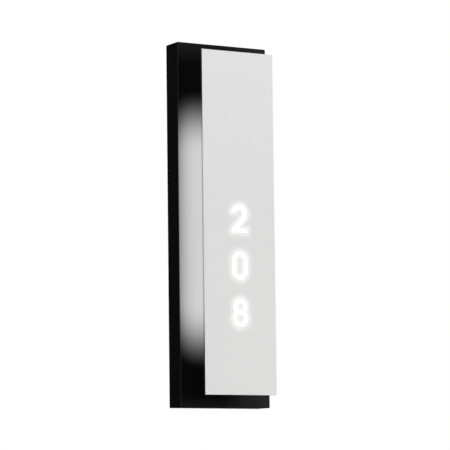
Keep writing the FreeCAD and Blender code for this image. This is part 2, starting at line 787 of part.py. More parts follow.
def build_driver():
    """The driver: an open housing with end lugs, its lid, the board inside and its screws."""
    half = "(driver_width / 2)"
    inner = "(driver_width / 2 - driver_wall)"
    inner_z = (f"{DRIVER_BOTTOM} + driver_wall", "driver_top - driver_wall")
    lug = "(driver_lug_width / 2)"
    body = DesignBody("driver_blank")
    body.pad("front", ("tray_wall", DRIVER_FRONT), rectangle(both(half), (DRIVER_BOTTOM, "driver_top")))
    body.pad(
        "front", ("tray_wall", "tray_wall + lug_thickness"),
        rectangle(both(lug), (f"{DRIVER_BOTTOM} - driver_lug_length", "driver_top + driver_lug_length")),
    )
    body.pocket("front", ("tray_wall + driver_wall", DRIVER_FRONT), rectangle(both(inner), inner_z))
    hole = "small_thread + 2 * fit_gap"
    body.pocket(
        "front", ("tray_wall", "tray_wall + lug_thickness"),
        *[circle(x, z, hole) for x, z in driver_screw_places()],
    )
    mains_hole = "mains_lead_diameter + 2 * lead_hole_gap"
    low_hole = "low_lead_diameter + 2 * lead_hole_gap"
    holes = []
    for index, x in enumerate(pole_places()[:2]):
        place = (x, "tray_wall + mains_entry_depth")
        span = ("driver_top - driver_wall", "driver_top")
        holes.append(rod(f"mains_hole_{index}", "z", place, span, mains_hole))
    for index, x in enumerate(both("low_lead_spacing / 2")):
        place = (x, "tray_wall + low_lead_depth")
        span = (DRIVER_BOTTOM, f"{DRIVER_BOTTOM} + driver_wall")
        holes.append(rod(f"low_hole_{index}", "z", place, span, low_hole))
    node(cut("driver_housing", body.body, *holes))
    lid = DesignBody("driver_lid")
    lid_front = f"{DRIVER_FRONT} + driver_wall"
    lid.pad("front", (DRIVER_FRONT, lid_front), rectangle(both(half), (DRIVER_BOTTOM, "driver_top")))
    front_y = -(s.tray_wall + s.driver_depth + s.driver_wall)
    lid.fillet("driver_wall / 2", lambda edge: edge.BoundBox.YMax < front_y + s.fit_gap)
    node(lid.body)
    seat = "(tray_wall + driver_wall + board_seat_height)"
    board_front = f"({seat} + board_thickness)"
    board = block("driver_board_sheet", both(f"{inner} - board_edge_gap"), (seat, board_front),
                  (f"{inner_z[0]} + board_edge_gap", f"{inner_z[1]} - board_edge_gap"))
    middle = f"({DRIVER_BOTTOM} + driver_length / 2)"
    post_places = [(x, f"{middle} {side} driver_length / 3") for x in both(f"{inner} / 2") for side in "+-"]
    posts = [
        rod(f"board_post_{index}", "depth", place, ("tray_wall + driver_wall", seat), "capacitor_diameter")
        for index, place in enumerate(post_places)
    ]
    node(fuse("driver_board", board, *posts))
    node(block("driver_transformer", both("transformer_width / 2"),
               (board_front, f"{board_front} + transformer_height"),
               (f"{middle} - transformer_length / 2", f"{middle} + transformer_length / 2")))
    capacitor_depth = f"{board_front} + capacitor_diameter / 2"
    capacitors = [
        rod(f"capacitor_{index}", "z", (x, capacitor_depth),
            (f"{middle} + transformer_length", f"{middle} + transformer_length + capacitor_length"),
            "capacitor_diameter")
        for index, x in enumerate(both(f"{inner} / 2"))
    ]
    node(group("driver_capacitors", *capacitors))
    screws = [
        pan_screw(f"driver_screw_{index}", place, "tray_wall + lug_thickness", "0", True)
        for index, place in enumerate(driver_screw_places())
    ]
    node(group("driver_screws", *screws))


def wire_depth():
    """The depth of the terminal block's wire holes."""
    return s.tray_wall + s.contact_pocket_depth - s.contact_strip_thickness - s.wire_hole_diameter / 2


def build_mains_leads():
    """Live and neutral run from their poles down to the driver, and earth to its tag."""
    start_z = s.terminal_base_height + s.wire_hole_depth
    end_z = s.driver_top - s.driver_wall
    drop = start_z - end_z
    end_depth = s.tray_wall + s.mains_entry_depth
    for label, x in (("live_lead", -s.terminal_pitch), ("neutral_lead", 0.0)):
        tube(label, [[
            (x, wire_depth(), start_z),
            (x, wire_depth(), start_z - drop / 3),
            (x, end_depth, end_z + drop / 3),
            (x, end_depth, end_z),
        ]], s.mains_lead_diameter)
    tray_half_width = s.case_width / 2 - s.case_wall - s.tray_side_gap
    tag_x = tray_half_width - s.earth_inset - s.earth_tag_reach
    reach = tag_x - s.terminal_pitch
    tag_depth = s.tray_wall + s.earth_barrel_diameter / 2
    drop = start_z - s.earth_height
    tube("earth_lead", [[
        (s.terminal_pitch, wire_depth(), start_z),
        (s.terminal_pitch, wire_depth(), start_z - drop / 2),
        (s.terminal_pitch + reach / 6, wire_depth(), start_z - drop * 5 / 6),
        (s.terminal_pitch + reach / 2, tag_depth, s.earth_height),
        (tag_x, tag_depth, s.earth_height),
    ]], s.mains_lead_diameter)


def socket_top():
    """The height of the socket's upper face, as a number."""
    return s.socket_rise - s.case_height / 2 + s.socket_length / 2


def build_low_voltage_leads():
    """Two leads from the driver to the socket, and the clip that holds them."""
    routes = []
    depth = s.tray_wall + s.low_lead_depth
    start_z = s.driver_top - s.driver_length + s.driver_wall
    end_z = socket_top()
    holes = []
    for index, x in enumerate((-s.low_lead_spacing / 2, s.low_lead_spacing / 2)):
        length = start_z - end_z
        section = Part.makeCylinder(
            s.low_lead_diameter / 2, length, FreeCAD.Vector(x, -depth, end_z), FreeCAD.Vector(0, 0, 1))
        routes.append(section)
        place = (both("low_lead_spacing / 2")[index], "tray_wall + low_lead_depth")
        span = (f"{TRAY_CLIP_HEIGHT} - clip_length / 2", f"{TRAY_CLIP_HEIGHT} + clip_length / 2")
        holes.append(rod(f"clip_hole_{index}", "z", place, span, "low_lead_diameter + 2 * thread_gap"))
    node(shape_piece("low_voltage_leads", Part.makeCompound(routes)))
    saddle = block("tray_clip_saddle", both("low_lead_spacing / 2 + low_lead_diameter / 2 + clip_wall"),
                   ("tray_wall", "tray_wall + low_lead_depth + low_lead_diameter / 2 + clip_wall"),
                   (f"{TRAY_CLIP_HEIGHT} - clip_length / 2", f"{TRAY_CLIP_HEIGHT} + clip_length / 2"))
    node(cut("tray_lead_clip", saddle, *holes))


def socket_screw_places():
    """The screws in the socket's lugs; the plug's lugs lie opposite them."""
    return [(x, SOCKET_HEIGHT) for x in both("(socket_width / 2 + socket_lug_width / 2)")]


def build_socket():
    """The socket block on the tray, with two tube contacts that the plug's pins enter."""
    half = "(socket_width / 2)"
    ends = (f"{SOCKET_HEIGHT} - socket_length / 2", SOCKET_TOP)
    tube_diameter = "(pin_diameter + 2 * pin_gap + 2 * contact_wall)"
    tube_span = (f"{SOCKET_FRONT} - contact_length", SOCKET_FRONT)
    places = [(x, SOCKET_HEIGHT) for x in both("pin_spacing / 2")]
    body = DesignBody("socket_block")
    body.pad("front", ("tray_wall", "tray_wall + lug_thickness"),
             lug_outline(half, "socket_lug_width", SOCKET_HEIGHT, "terminal_lug_length"))
    body.pad("front", ("tray_wall", SOCKET_FRONT), rectangle(both(half), ends))
    body.pocket("front", tube_span, *[circle(x, z, tube_diameter) for x, z in places])
    body.pocket("front", ("tray_wall", "tray_wall + lug_thickness"),
                *[circle(x, z, "small_thread + 2 * fit_gap") for x, z in socket_screw_places()])
    node(body.body)
    tubes = []
    for index, place in enumerate(places):
        outer = rod(f"contact_tube_{index}", "depth", place, tube_span, tube_diameter)
        bore = rod(f"contact_bore_{index}", "depth", place,
                   (f"{SOCKET_FRONT} - contact_length + contact_wall", SOCKET_FRONT),
                   "pin_diameter + 2 * pin_gap")
        tubes.append(cut(f"contact_{index}", outer, bore))
    node(group("socket_contacts", *tubes))
    screws = [
        pan_screw(f"socket_screw_{index}", place, "tray_wall + lug_thickness", "0", True)
        for index, place in enumerate(socket_screw_places())
    ]
    node(group("socket_screws", *screws))


# Light, which comes off the tray in one piece

def standoff_places():
    """The corners where the plate is carried."""
    return four_places("standoff_spacing_x", "standoff_spacing_z")


def box_screw_places():
    """The screws that hold the light box and the carrier's feet."""
    return four_places("carrier_width + carrier_foot + 2 * fit_gap", "box_screw_spacing")


def lead_hole_diameter():
    """The hole for the lead bush in the case and in the light box."""
    return "(lead_grommet_bore + 2 * lead_grommet_wall + 2 * fit_gap)"


def build_case():
    """The folded black case with its screw holes, lead hole, weld nuts and grub screws."""
    half_width = "(case_width / 2)"
    half_height = "(case_height / 2)"
    body = DesignBody("case")
    body.pad("front", ("case_rim_gap", "case_depth"), rectangle(both(half_width), both(half_height)))
    body.pocket("front", ("case_rim_gap", CASE_INSIDE),
                rectangle(both(f"{half_width} - case_wall"), both(f"{half_height} - case_wall")))
    body.pocket(
        "front", (CASE_INSIDE, "case_depth"),
        circle("0", LEAD_ENTRY_HEIGHT, lead_hole_diameter()),
        *[circle(x, z, "standoff_thread + 2 * fit_gap") for x, z in standoff_places()],
        *[circle(x, z, "small_thread + 2 * fit_gap") for x, z in box_screw_places()],
        *[circle(x, z, "small_thread + 2 * thread_gap") for x, z in socket_screw_places()],
    )
    grub_hole = circle("0", "-(grub_depth)", "grub_diameter + 2 * fit_gap")
    body.pocket("top", (f"{half_height} - case_wall", half_height), grub_hole)
    body.pocket("top", (f"-{half_height}", f"-{half_height} + case_wall"), grub_hole)

    def outer_edge(edge):
        box = edge.BoundBox
        along_depth = box.YLength > s.case_wall and abs(box.Center.x) > s.case_width / 2 - s.fit_gap
        on_front = box.YMax < s.fit_gap - s.case_depth and max(box.XLength, box.ZLength) > s.case_width / 2
        return along_depth or on_front

    body.fillet("case_edge_radius", outer_edge)
    node(body.body)
    nuts = []
    screws = []
    for name, sign in (("top", ""), ("bottom", "-")):
        inside = f"({half_height} - case_wall)"
        nut_z = (f"{inside} - weld_nut_thickness", inside)
        screw_z = (f"{half_height} - grub_length", half_height)
        socket_z = (f"{half_height} - grub_socket_depth", half_height)
        if sign:
            nut_z = (f"-{inside}", f"-{inside} + weld_nut_thickness")
            screw_z = (f"-{half_height}", f"-{half_height} + grub_length")
            socket_z = (f"-{half_height}", f"-{half_height} + grub_socket_depth")
        place = ("0", "grub_depth")
        nut = block(f"{name}_nut_blank", both("weld_nut_width / 2"),
                    ("grub_depth - weld_nut_width / 2", "grub_depth + weld_nut_width / 2"), nut_z)
        nut_bore = rod(f"{name}_nut_bore", "z", place, nut_z, "grub_diameter + 2 * thread_gap")
        nuts.append(cut(f"{name}_nut", nut, nut_bore))
        screw = rod(f"{name}_grub", "z", place, screw_z, "grub_diameter")
        socket = hexagon(f"{name}_grub_socket", "z", place, socket_z, "grub_socket_width")
        screws.append(cut(f"{name}_grub_screw", screw, socket))
    node(group("weld_nuts", *nuts))
    node(group("retaining_screws", *screws))


def build_plug():
    """The plug block on the case's inner face, with the two pins that enter the socket."""
    half = "(socket_width / 2)"
    ends = (f"{SOCKET_HEIGHT} - socket_length / 2", SOCKET_TOP)
    places = [(x, SOCKET_HEIGHT) for x in both("pin_spacing / 2")]
    lug_back = f"({CASE_INSIDE} - plug_lug_thickness)"
    body = DesignBody("plug_block")
    body.pad("front", (PLUG_FACE, CASE_INSIDE), rectangle(both(half), ends))
    body.pad("front", (lug_back, CASE_INSIDE),
             lug_outline(half, "socket_lug_width", SOCKET_HEIGHT, "terminal_lug_length"))
    body.pocket("front", (lug_back, CASE_INSIDE),
                *[circle(x, z, "small_thread + 2 * fit_gap") for x, z in socket_screw_places()])
    body.pocket("front", (PLUG_FACE, CASE_INSIDE), *[circle(x, z, "pin_diameter") for x, z in places])
    node(body.body)
    pins = [
        rod(f"plug_pin_{index}", "depth", place, (f"{SOCKET_FRONT} - pin_reach", CASE_INSIDE), "pin_diameter")
        for index, place in enumerate(places)
    ]
    node(group("plug_pins", *pins))
    screws = [
        pan_screw(f"plug_screw_{index}", place, lug_back, "case_depth", False)
        for index, place in enumerate(socket_screw_places())
    ]
    node(group("plug_screws", *screws))


def build_led_leads():
    """Two leads from the plug, through a clip and a bush, to the front board in the light box."""
    start_z = socket_top()
    entry_z = s.lead_entry_rise - s.box_length / 2
    board_front = s.case_depth + s.base_wall + s.carrier_depth + s.board_thickness
    board_end = -s.carrier_length / 2 + s.led_board_margin
    bend_z = start_z + 2 * s.clip_length + 2 * s.low_lead_diameter
    rise = entry_z - bend_z
    routes = []
    for x in (-s.led_lead_spacing / 2, s.led_lead_spacing / 2):
        routes.append([
            (x, s.led_lead_depth, start_z),
            (x, s.led_lead_depth, bend_z + rise / 5),
            (x, s.led_lead_low_depth, entry_z - rise / 3),
            (x, s.led_lead_low_depth - s.low_lead_diameter / 2, entry_z),
            (x, board_front + s.low_lead_diameter / 2, entry_z),
            (x, board_front + s.low_lead_diameter / 2, board_end + s.link_width),
        ])
    tube("led_leads", routes, s.low_lead_diameter)
    span = (f"{CASE_CLIP_HEIGHT} - clip_length / 2", f"{CASE_CLIP_HEIGHT} + clip_length / 2")
    saddle = block("case_clip_saddle", both("led_lead_spacing / 2 + low_lead_diameter / 2 + clip_wall"),
                   ("led_lead_depth - low_lead_diameter / 2 - clip_wall", CASE_INSIDE), span)
    holes = [
        rod(f"case_clip_hole_{index}", "z", (x, "led_lead_depth"), span, "low_lead_diameter + 2 * thread_gap")
        for index, x in enumerate(both("led_lead_spacing / 2"))
    ]
    node(cut("case_lead_clip", saddle, *holes))
    place = ("0", LEAD_ENTRY_HEIGHT)
    sleeve_width = "(lead_grommet_bore + 2 * lead_grommet_wall)"
    flange_width = f"{sleeve_width} + 2 * lead_grommet_flange"
    inner_span = (f"{CASE_INSIDE} - lead_grommet_flange", CASE_INSIDE)
    outer_span = (BASE_FRONT, f"{BASE_FRONT} + lead_grommet_flange")
    sleeve = rod("lead_sleeve", "depth", place, (inner_span[0], outer_span[1]), sleeve_width)
    inner_flange = rod("lead_inner_flange", "depth", place, inner_span, flange_width)
    outer_flange = rod("lead_outer_flange", "depth", place, outer_span, flange_width)
    bore = rod("lead_bore", "depth", place, (inner_span[0], outer_span[1]), "lead_grommet_bore")
    node(cut("lead_grommet", fuse("lead_grommet_blank", sleeve, inner_flange, outer_flange), bore))


def build_light_box():
    """The white channel on the case, the LED carrier with its boards, and the opal cover."""
    half = "(base_width / 2)"
    base_end = f"{HALF_BOX} - fit_gap"
    lip_inside = f"({half} - base_wall)"
    base = DesignBody("light_box_base")
    base.pad("front", ("case_depth", BASE_FRONT), rectangle(both(half), both(base_end)))
    base.pad(
        "front", ("case_depth", f"{BASE_FRONT} + base_lip"),
        rectangle((lip_inside, half), both(base_end)),
        rectangle((f"-{half}", f"-{lip_inside}"), both(base_end)),
    )
    base.pocket(
        "front", ("case_depth", BASE_FRONT),
        circle("0", LEAD_ENTRY_HEIGHT, lead_hole_diameter()),
        *[circle(x, z, "small_thread + 2 * fit_gap") for x, z in box_screw_places()],
    )
    node(base.body)
    hat = "(carrier_width / 2)"
    hat_inside = f"({hat} - carrier_wall)"
    foot_end = f"{hat} + carrier_foot"
    carrier_ends = both("carrier_length / 2")
    carrier = DesignBody("led_carrier")
    carrier.pad("front", (BASE_FRONT, CARRIER_FRONT), rectangle(both(hat), carrier_ends))
    foot_span = (BASE_FRONT, f"{BASE_FRONT} + carrier_wall")
    hollow_span = (BASE_FRONT, f"{CARRIER_FRONT} - carrier_wall")
    carrier.pad("front", foot_span, rectangle(both(foot_end), carrier_ends))
    carrier.pocket("front", hollow_span, rectangle(both(hat_inside), carrier_ends))
    carrier.pocket("front", foot_span,
                   *[circle(x, z, "small_thread + 2 * fit_gap") for x, z in box_screw_places()])
    node(carrier.body)
    screw_seat = f"({BASE_FRONT} + carrier_wall)"
    nut_span = (f"{CASE_INSIDE} - box_nut_thickness", CASE_INSIDE)
    screws = []
    nuts = []
    for index, place in enumerate(box_screw_places()):
        tip = f"{nut_span[0]} - screw_overrun"
        screws.append(pan_screw(f"box_screw_{index}", place, screw_seat, tip, True))
        nut = hexagon(f"box_nut_blank_{index}", "depth", place, nut_span, "box_nut_width")
        bore = rod(f"box_nut_bore_{index}", "depth", place, nut_span, "small_thread + 2 * thread_gap")
        nuts.append(cut(f"box_nut_{index}", nut, bore))
    node(group("light_box_screws", *screws))
    node(group("light_box_nuts", *nuts))


def build_led_boards():
    """Three LED boards on the carrier: one faces the numerals and two light the gaps beside the plate."""
    board_ends = both("carrier_length / 2 - led_board_margin")
    board_front = f"({CARRIER_FRONT} + board_thickness)"
    side_middle = f"({BASE_FRONT} + carrier_depth / 2 + carrier_wall)"
    side_depths = (f"{side_middle} - side_board_width / 2", f"{side_middle} + side_board_width / 2")
    side_face = "(carrier_width / 2 + board_thickness)"
    node(block("front_led_board", both("front_board_width / 2"), (CARRIER_FRONT, board_front), board_ends))
    right = ("carrier_width / 2", side_face)
    left = (f"-{side_face}", "-(carrier_width / 2)")
    node(block("right_led_board", right, side_depths, board_ends))
    node(block("left_led_board", left, side_depths, board_ends))
    count = int(s.led_count)
    front_chips = []
    side_chips = []
    for index in range(count):
        height = f"({index} - (led_count - 1) / 2) * led_pitch"
        chip_z = (f"{height} - led_length / 2", f"{height} + led_length / 2")
        front_chips.append(block(f"front_chip_{index}", both("led_width / 2"),
                                 (board_front, f"{board_front} + led_height"), chip_z))
        chip_depths = (f"{side_middle} - led_width / 2", f"{side_middle} + led_width / 2")
        right_x = (side_face, f"{side_face} + led_height")
        left_x = (f"-{side_face} - led_height", f"-{side_face}")
        side_chips.append(block(f"right_chip_{index}", right_x, chip_depths, chip_z))
        side_chips.append(block(f"left_chip_{index}", left_x, chip_depths, chip_z))
    node(group("front_led_chips", *front_chips))
    node(group("side_led_chips", *side_chips))
    link_z = (board_ends[0], f"{board_ends[0]} + link_width")
    link_front = f"{board_front} + link_thickness"
    links = []
    for name, flat_x, upright_x in (
        ("right", ("front_board_width / 2 - link_width", f"{side_face} + link_thickness"),
         (side_face, f"{side_face} + link_thickness")),
        ("left", (f"-{side_face} - link_thickness", "link_width - front_board_width / 2"),
         (f"-{side_face} - link_thickness", f"-{side_face}")),
    ):
        flat = block(f"{name}_link_flat", flat_x, (board_front, link_front), link_z)
        upright = block(f"{name}_link_upright", upright_x, (side_middle, link_front), link_z)
        links.append(fuse(f"{name}_link", flat, upright))
    node(group("board_links", *links))


def build_diffuser():
    """The opal cover: three walls, ribs that clip behind the channel's lips, and two end caps."""
    outside = "(diffuser_width / 2)"
    inside = "(diffuser_width / 2 - diffuser_wall)"
    rib_inside = "(base_width / 2 + fit_gap)"
    rib_depths = (f"{BASE_FRONT} + clip_rib_depth", f"{BASE_FRONT} + clip_rib_depth + clip_rib_thickness")
    body = DesignBody("diffuser")
    body.pad("front", ("case_depth", DIFFUSER_FRONT), rectangle(both(outside), both(HALF_BOX)))
    hollow_span = ("case_depth", f"{DIFFUSER_FRONT} - diffuser_wall")
    body.pocket("front", hollow_span, rectangle(both(inside), both(HALF_BOX)))
    body.pad("front", rib_depths, rectangle((rib_inside, inside), both(HALF_BOX)))
    body.pad("front", rib_depths, rectangle((f"-{inside}", f"-{rib_inside}"), both(HALF_BOX)))
    node(body.body)
    caps = []
    for name, span in (
        ("top", (HALF_BOX, f"{HALF_BOX} + end_cap_thickness")),
        ("bottom", (f"-{HALF_BOX} - end_cap_thickness", f"-{HALF_BOX}")),
    ):
        caps.append(block(f"{name}_cap", both(outside), ("case_depth", DIFFUSER_FRONT), span))
    node(group("end_caps", *caps))


def build_plate_carriers():
    """Standoffs between the case and the plate, with their screws and the plate's studs."""
    standoffs = []
    screws = []
    studs = []
    head_back = f"({CASE_INSIDE} - standoff_head_height)"
    for index, place in enumerate(standoff_places()):
        post = rod(f"standoff_post_{index}", "depth", place, ("case_depth", PLATE_BACK), "standoff_diameter")
        bore = rod(f"standoff_bore_{index}", "depth", place, ("case_depth", PLATE_BACK),
                   "standoff_thread + 2 * thread_gap")
        standoffs.append(cut(f"standoff_{index}", post, bore))
        head_span = (head_back, CASE_INSIDE)
        head = rod(f"standoff_head_{index}", "depth", place, head_span, "standoff_head_diameter")
        shank = rod(f"standoff_shank_{index}", "depth", place,
                    (CASE_INSIDE, "case_depth + standoff_screw_reach"), "standoff_thread")
        socket = hexagon(f"standoff_socket_{index}", "depth", place,
                         (head_back, f"{head_back} + hex_socket_depth"), "hex_socket_width")
        blank = fuse(f"standoff_screw_blank_{index}", head, shank)
        screws.append(cut(f"standoff_screw_{index}", blank, socket))
        stud_span = (f"{PLATE_BACK} - stud_reach", f"{PLATE_BACK} + stud_seat")
        studs.append(rod(f"plate_stud_{index}", "depth", place, stud_span, "standoff_thread"))
    node(group("standoffs", *standoffs))
    node(group("standoff_screws", *screws))
    node(group("plate_studs", *studs))


def plate_corner(edge):
    """Picks the plate's four corner edges, along its thickness."""
    box = edge.BoundBox
    outside = abs(box.Center.x) > s.plate_width / 2 - s.fit_gap
    return outside and abs(box.Center.z) > s.plate_height / 2 - s.fit_gap


def build_plate():
    """The plate: a light metal skin on a black core, pierced by the numerals."""
    back = s.case_depth + s.plate_gap
    core_front = back + s.core_thickness
    front = core_front + s.skin_thickness
    half_width = "(plate_width / 2)"
    half_height = "(plate_height / 2)"
    labels = ("digit_two", "digit_zero", "digit_eight")
    openings = []
    skins = []
    cores = []
    for index, (label, (outer, counters)) in enumerate(zip(labels, (two_face(), zero_face(), eight_face()))):
        height = s.first_digit_height - index * s.digit_pitch
        openings.append(raised(outer.makeOffset2D(s.digit_gap), back, front, height))
        solid = raised(outer, back, front, height)
        for counter in counters:
            solid = solid.cut(raised(counter, back, front, height))
            island = counter.makeOffset2D(-s.digit_gap)
            cores.append(raised(island, back, core_front, height))
            skins.append(raised(island, core_front, front, height))
        node(shape_piece(label, solid))
    tool = shape_piece("digit_openings", Part.makeCompound(openings))
    node(shape_piece("counter_faces", Part.makeCompound(skins)))
    node(shape_piece("counter_cores", Part.makeCompound(cores)))
    core = DesignBody("plate_core_blank")
    core.pad("front", (PLATE_BACK, CORE_FRONT), rectangle(both(half_width), both(half_height)))
    core.fillet("plate_corner_radius", plate_corner)
    core.pocket("front", (PLATE_BACK, f"{PLATE_BACK} + stud_seat"),
                *[circle(x, z, "standoff_thread + 2 * thread_gap") for x, z in standoff_places()])
    node(cut("plate_core", core.body, tool))
    skin = DesignBody("face_plate_blank")
    skin.pad("front", (CORE_FRONT, PLATE_FRONT), rectangle(both(half_width), both(half_height)))
    skin.fillet("plate_corner_radius", plate_corner)
    node(cut("face_plate", skin.body, tool))
    panel_reach = "(digit_height / 2 + digit_panel_margin)"
    panel = DesignBody("digit_panel")
    panel.pad("front", (DIFFUSER_FRONT, PLATE_BACK),
              rectangle(both("digit_panel_width / 2"),
                        (f"first_digit_height - 2 * digit_pitch - {panel_reach}",
                         f"first_digit_height + {panel_reach}")))
    node(panel.body)


def check_document():
    """Stops unless every object and every sub-part came out whole."""
    for item in doc.Objects:
        if "Invalid" in item.State or "Error" in item.State:
            raise RuntimeError(f"{item.Label} failed: {item.State}")
    for piece in nodes:
        if piece.Shape.isNull() or not piece.Shape.isValid() or not piece.Shape.Solids:
            raise RuntimeError(f"{piece.Label} has no sound solid")


def export_nodes():
    """Writes each sub-part's solids to its own file."""
    os.makedirs("parts", exist_ok=True)
    for piece in nodes:
        piece.Shape.exportStep(f"parts/{piece.Label}.step")
        print(f"{piece.Label}: {len(piece.Shape.Solids)} solids, {piece.Shape.Volume:.0f} mm3")


build_tray()
build_tray_flanges()
build_catches()
build_grommet()
build_terminal_block()
build_levers()
build_earth()
build_driver()
build_mains_leads()
build_low_voltage_leads()
build_socket()
build_case()
build_plug()
build_led_leads()
build_light_box()
build_led_boards()
build_diffuser()
build_plate_carriers()
build_plate()
doc.recompute()
check_document()
export_nodes()
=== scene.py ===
"""Room number wall light, dressed for its picture.

A shallow black case hangs on a steel tray. An opal light box sits on the case, and its glow on both sides is
painted on as light; a thin plate of satin aluminium with three lit numerals stands in front of it. Lengths
are
in metres, in the frame of the CAD model: X to the right, Y into the wall and Z up, with the origin at the
centre of the wall plane. A value in millimetres has a name that ends in _mm, and MM turns it into metres.
"""
import json
import logging
import math
from dataclasses import dataclass
from enum import Enum
from typing import Callable

import bmesh
import bpy
from mathutils import Matrix, Vector
from mathutils.kdtree import KDTree

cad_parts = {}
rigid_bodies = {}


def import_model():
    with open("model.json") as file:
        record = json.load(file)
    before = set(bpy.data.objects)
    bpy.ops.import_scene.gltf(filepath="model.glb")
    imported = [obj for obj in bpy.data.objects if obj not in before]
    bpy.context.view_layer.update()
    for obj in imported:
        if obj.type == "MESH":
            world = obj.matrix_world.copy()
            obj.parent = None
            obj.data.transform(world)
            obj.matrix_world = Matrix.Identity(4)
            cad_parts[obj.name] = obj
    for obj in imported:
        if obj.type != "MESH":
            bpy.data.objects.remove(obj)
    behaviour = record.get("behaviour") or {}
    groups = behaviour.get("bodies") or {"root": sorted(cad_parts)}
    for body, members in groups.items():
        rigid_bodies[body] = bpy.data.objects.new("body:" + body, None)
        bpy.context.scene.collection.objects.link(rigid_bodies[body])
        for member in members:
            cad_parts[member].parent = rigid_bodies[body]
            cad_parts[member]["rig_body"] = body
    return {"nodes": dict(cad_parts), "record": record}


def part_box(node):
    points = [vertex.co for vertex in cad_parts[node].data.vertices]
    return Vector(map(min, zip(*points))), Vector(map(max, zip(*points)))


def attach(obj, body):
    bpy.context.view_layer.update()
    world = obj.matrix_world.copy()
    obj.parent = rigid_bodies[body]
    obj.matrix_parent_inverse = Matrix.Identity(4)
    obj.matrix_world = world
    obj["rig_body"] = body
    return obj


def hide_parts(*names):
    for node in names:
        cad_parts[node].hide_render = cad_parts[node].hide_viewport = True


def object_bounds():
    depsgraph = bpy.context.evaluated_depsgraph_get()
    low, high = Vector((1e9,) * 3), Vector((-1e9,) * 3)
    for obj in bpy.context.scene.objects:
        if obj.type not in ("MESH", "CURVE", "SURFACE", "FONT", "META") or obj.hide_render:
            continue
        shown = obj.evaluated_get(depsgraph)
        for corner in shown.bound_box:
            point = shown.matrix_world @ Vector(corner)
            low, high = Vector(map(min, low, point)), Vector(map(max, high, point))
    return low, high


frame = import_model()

MM = 0.001
MERGE_DISTANCE = 0.001 * MM
FLAT_ANGLE = math.radians(0.5)
SHARP_ANGLE = math.radians(35)
CREASE_ANGLE = math.radians(50)
SHEET_CREASE_ANGLE = math.radians(20)
FACING = 0.9
SHORTEST_EDGE = 4
CORNER_SHARE = 0.45
OUTLINE_SPACING = 0.3 * MM
TURN_FACETS = 32
LEAD_FACETS = 5
LEAD_STEPS = 10
LEAD_ORDER = 3
FEW_OCTAVES = 2.0
SOME_OCTAVES = 3.0
MANY_OCTAVES = 4.0
OUTLINE = "outline_distance"
OUT = Vector((0.0, -1.0, 0.0))
IN = Vector((0.0, 1.0, 0.0))
RIGHT = Vector((1.0, 0.0, 0.0))
UP = Vector((0.0, 0.0, 1.0))
CAD_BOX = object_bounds()

log = logging.getLogger("room_number_light")

Piece = bpy.types.Object
Node = bpy.types.Node
Edge = bmesh.types.BMEdge
Face = bmesh.types.BMFace
Point = Vector | tuple[float, float, float]
Profile = list[tuple[float, float]]
Shares = tuple[tuple[float, float], ...]
Step = Callable[[], None]


# Colours and nodes

def linear(hex_colour: str) -> tuple[float, float, float, float]:
    """Turns an sRGB hex colour into linear light.

    Args:
        hex_colour: The colour as #rrggbb.

    Returns:
        Red, green, blue and full opacity.
    """
    channels = [int(hex_colour[start:start + 2], 16) / 255 for start in (1, 3, 5)]
    red, green, blue = [c / 12.92 if c <= 0.04045 else ((c + 0.055) / 1.055) ** 2.4 for c in channels]
    return red, green, blue, 1.0


def per_metre(size_mm: float) -> float:
    """Returns the texture scale at which a pattern repeats every size_mm."""
    return 1.0 / (size_mm * MM)


def metres(sizes_mm: tuple[float, ...]) -> list[float]:
    """Turns sizes in millimetres into metres."""
    return [size * MM for size in sizes_mm]


@dataclass(frozen=True)
class NodeSheet:
    """A node tree that is being drawn."""

    tree: bpy.types.NodeTree

    def add(self, kind: str, inputs: dict | None = None, **settings: object) -> Node:
        """Adds a node with its settings and its inputs.

        Args:
            kind: The node's type name, less the ShaderNode before it.
            inputs: For each input, a constant, a socket or a node whose first output is linked to it.
            settings: The node's own properties.

        Returns:
            The new node.
        """
        node = self.tree.nodes.new(f"ShaderNode{kind}")
        for name, value in settings.items():
            setattr(node, name, value)
        self.feed(node, inputs or {})
        return node

    def feed(self, node: Node, inputs: dict) -> None:
        """Sets a node's inputs, or links them.

        Args:
            node: The node.
            inputs: For each input, a constant, a socket or a node whose first output is linked to it.
        """
        for key, value in inputs.items():
            if isinstance(value, Node):
                value = value.outputs[0]
            if isinstance(value, bpy.types.NodeSocket):
                self.tree.links.new(value, node.inputs[key])
            else:
                node.inputs[key].default_value = value

    def seen_by(self, *rays: str) -> bpy.types.NodeSocket | Node:
        """Tells the rays that show a thing to the eye from those that light others by it.

        Args:
            rays: The names of the rays that show it.

        Returns:
            What gives 1 on those rays and 0 on the others.
        """
        path = self.add("LightPath").outputs
        seen = path[rays[0]]
        for ray in rays[1:]:
            seen = self.add("Math", {0: seen, 1: path[ray]}, operation="MAXIMUM")
        return seen


@dataclass(frozen=True)
class Surface(NodeSheet):
    """A material that is being laid: its tree, its Principled shader and the piece's own coordinates."""

    shader: Node
    place: bpy.types.NodeSocket

    def set(self, inputs: dict) -> None:
        """Feeds the shader itself."""
        self.feed(self.shader, inputs)

    def shine(self, light: Node, strength: float = 1.0) -> None:
        """Lets the surface give off a light of its own."""
        self.set({"Emission Color": light, "Emission Strength": strength})

    def fading(self, distance: Node | bpy.types.NodeSocket, fade_mm: float) -> Node:
        """Works out what falls off with a distance, to a third or so over fade_mm."""
        faded = self.add("Math", {0: distance, 1: -per_metre(fade_mm)}, operation="MULTIPLY")
        return self.add("Math", {0: faded}, operation="EXPONENT")


# Finishes

class Grain(Enum):
    """The way a brushed or drawn metal's lines run, as shares of the pattern's scale on X, Y and Z."""

    ALONG_X = (0.04, 1.0, 1.0)
    ALONG_Z = (1.0, 1.0, 0.04)


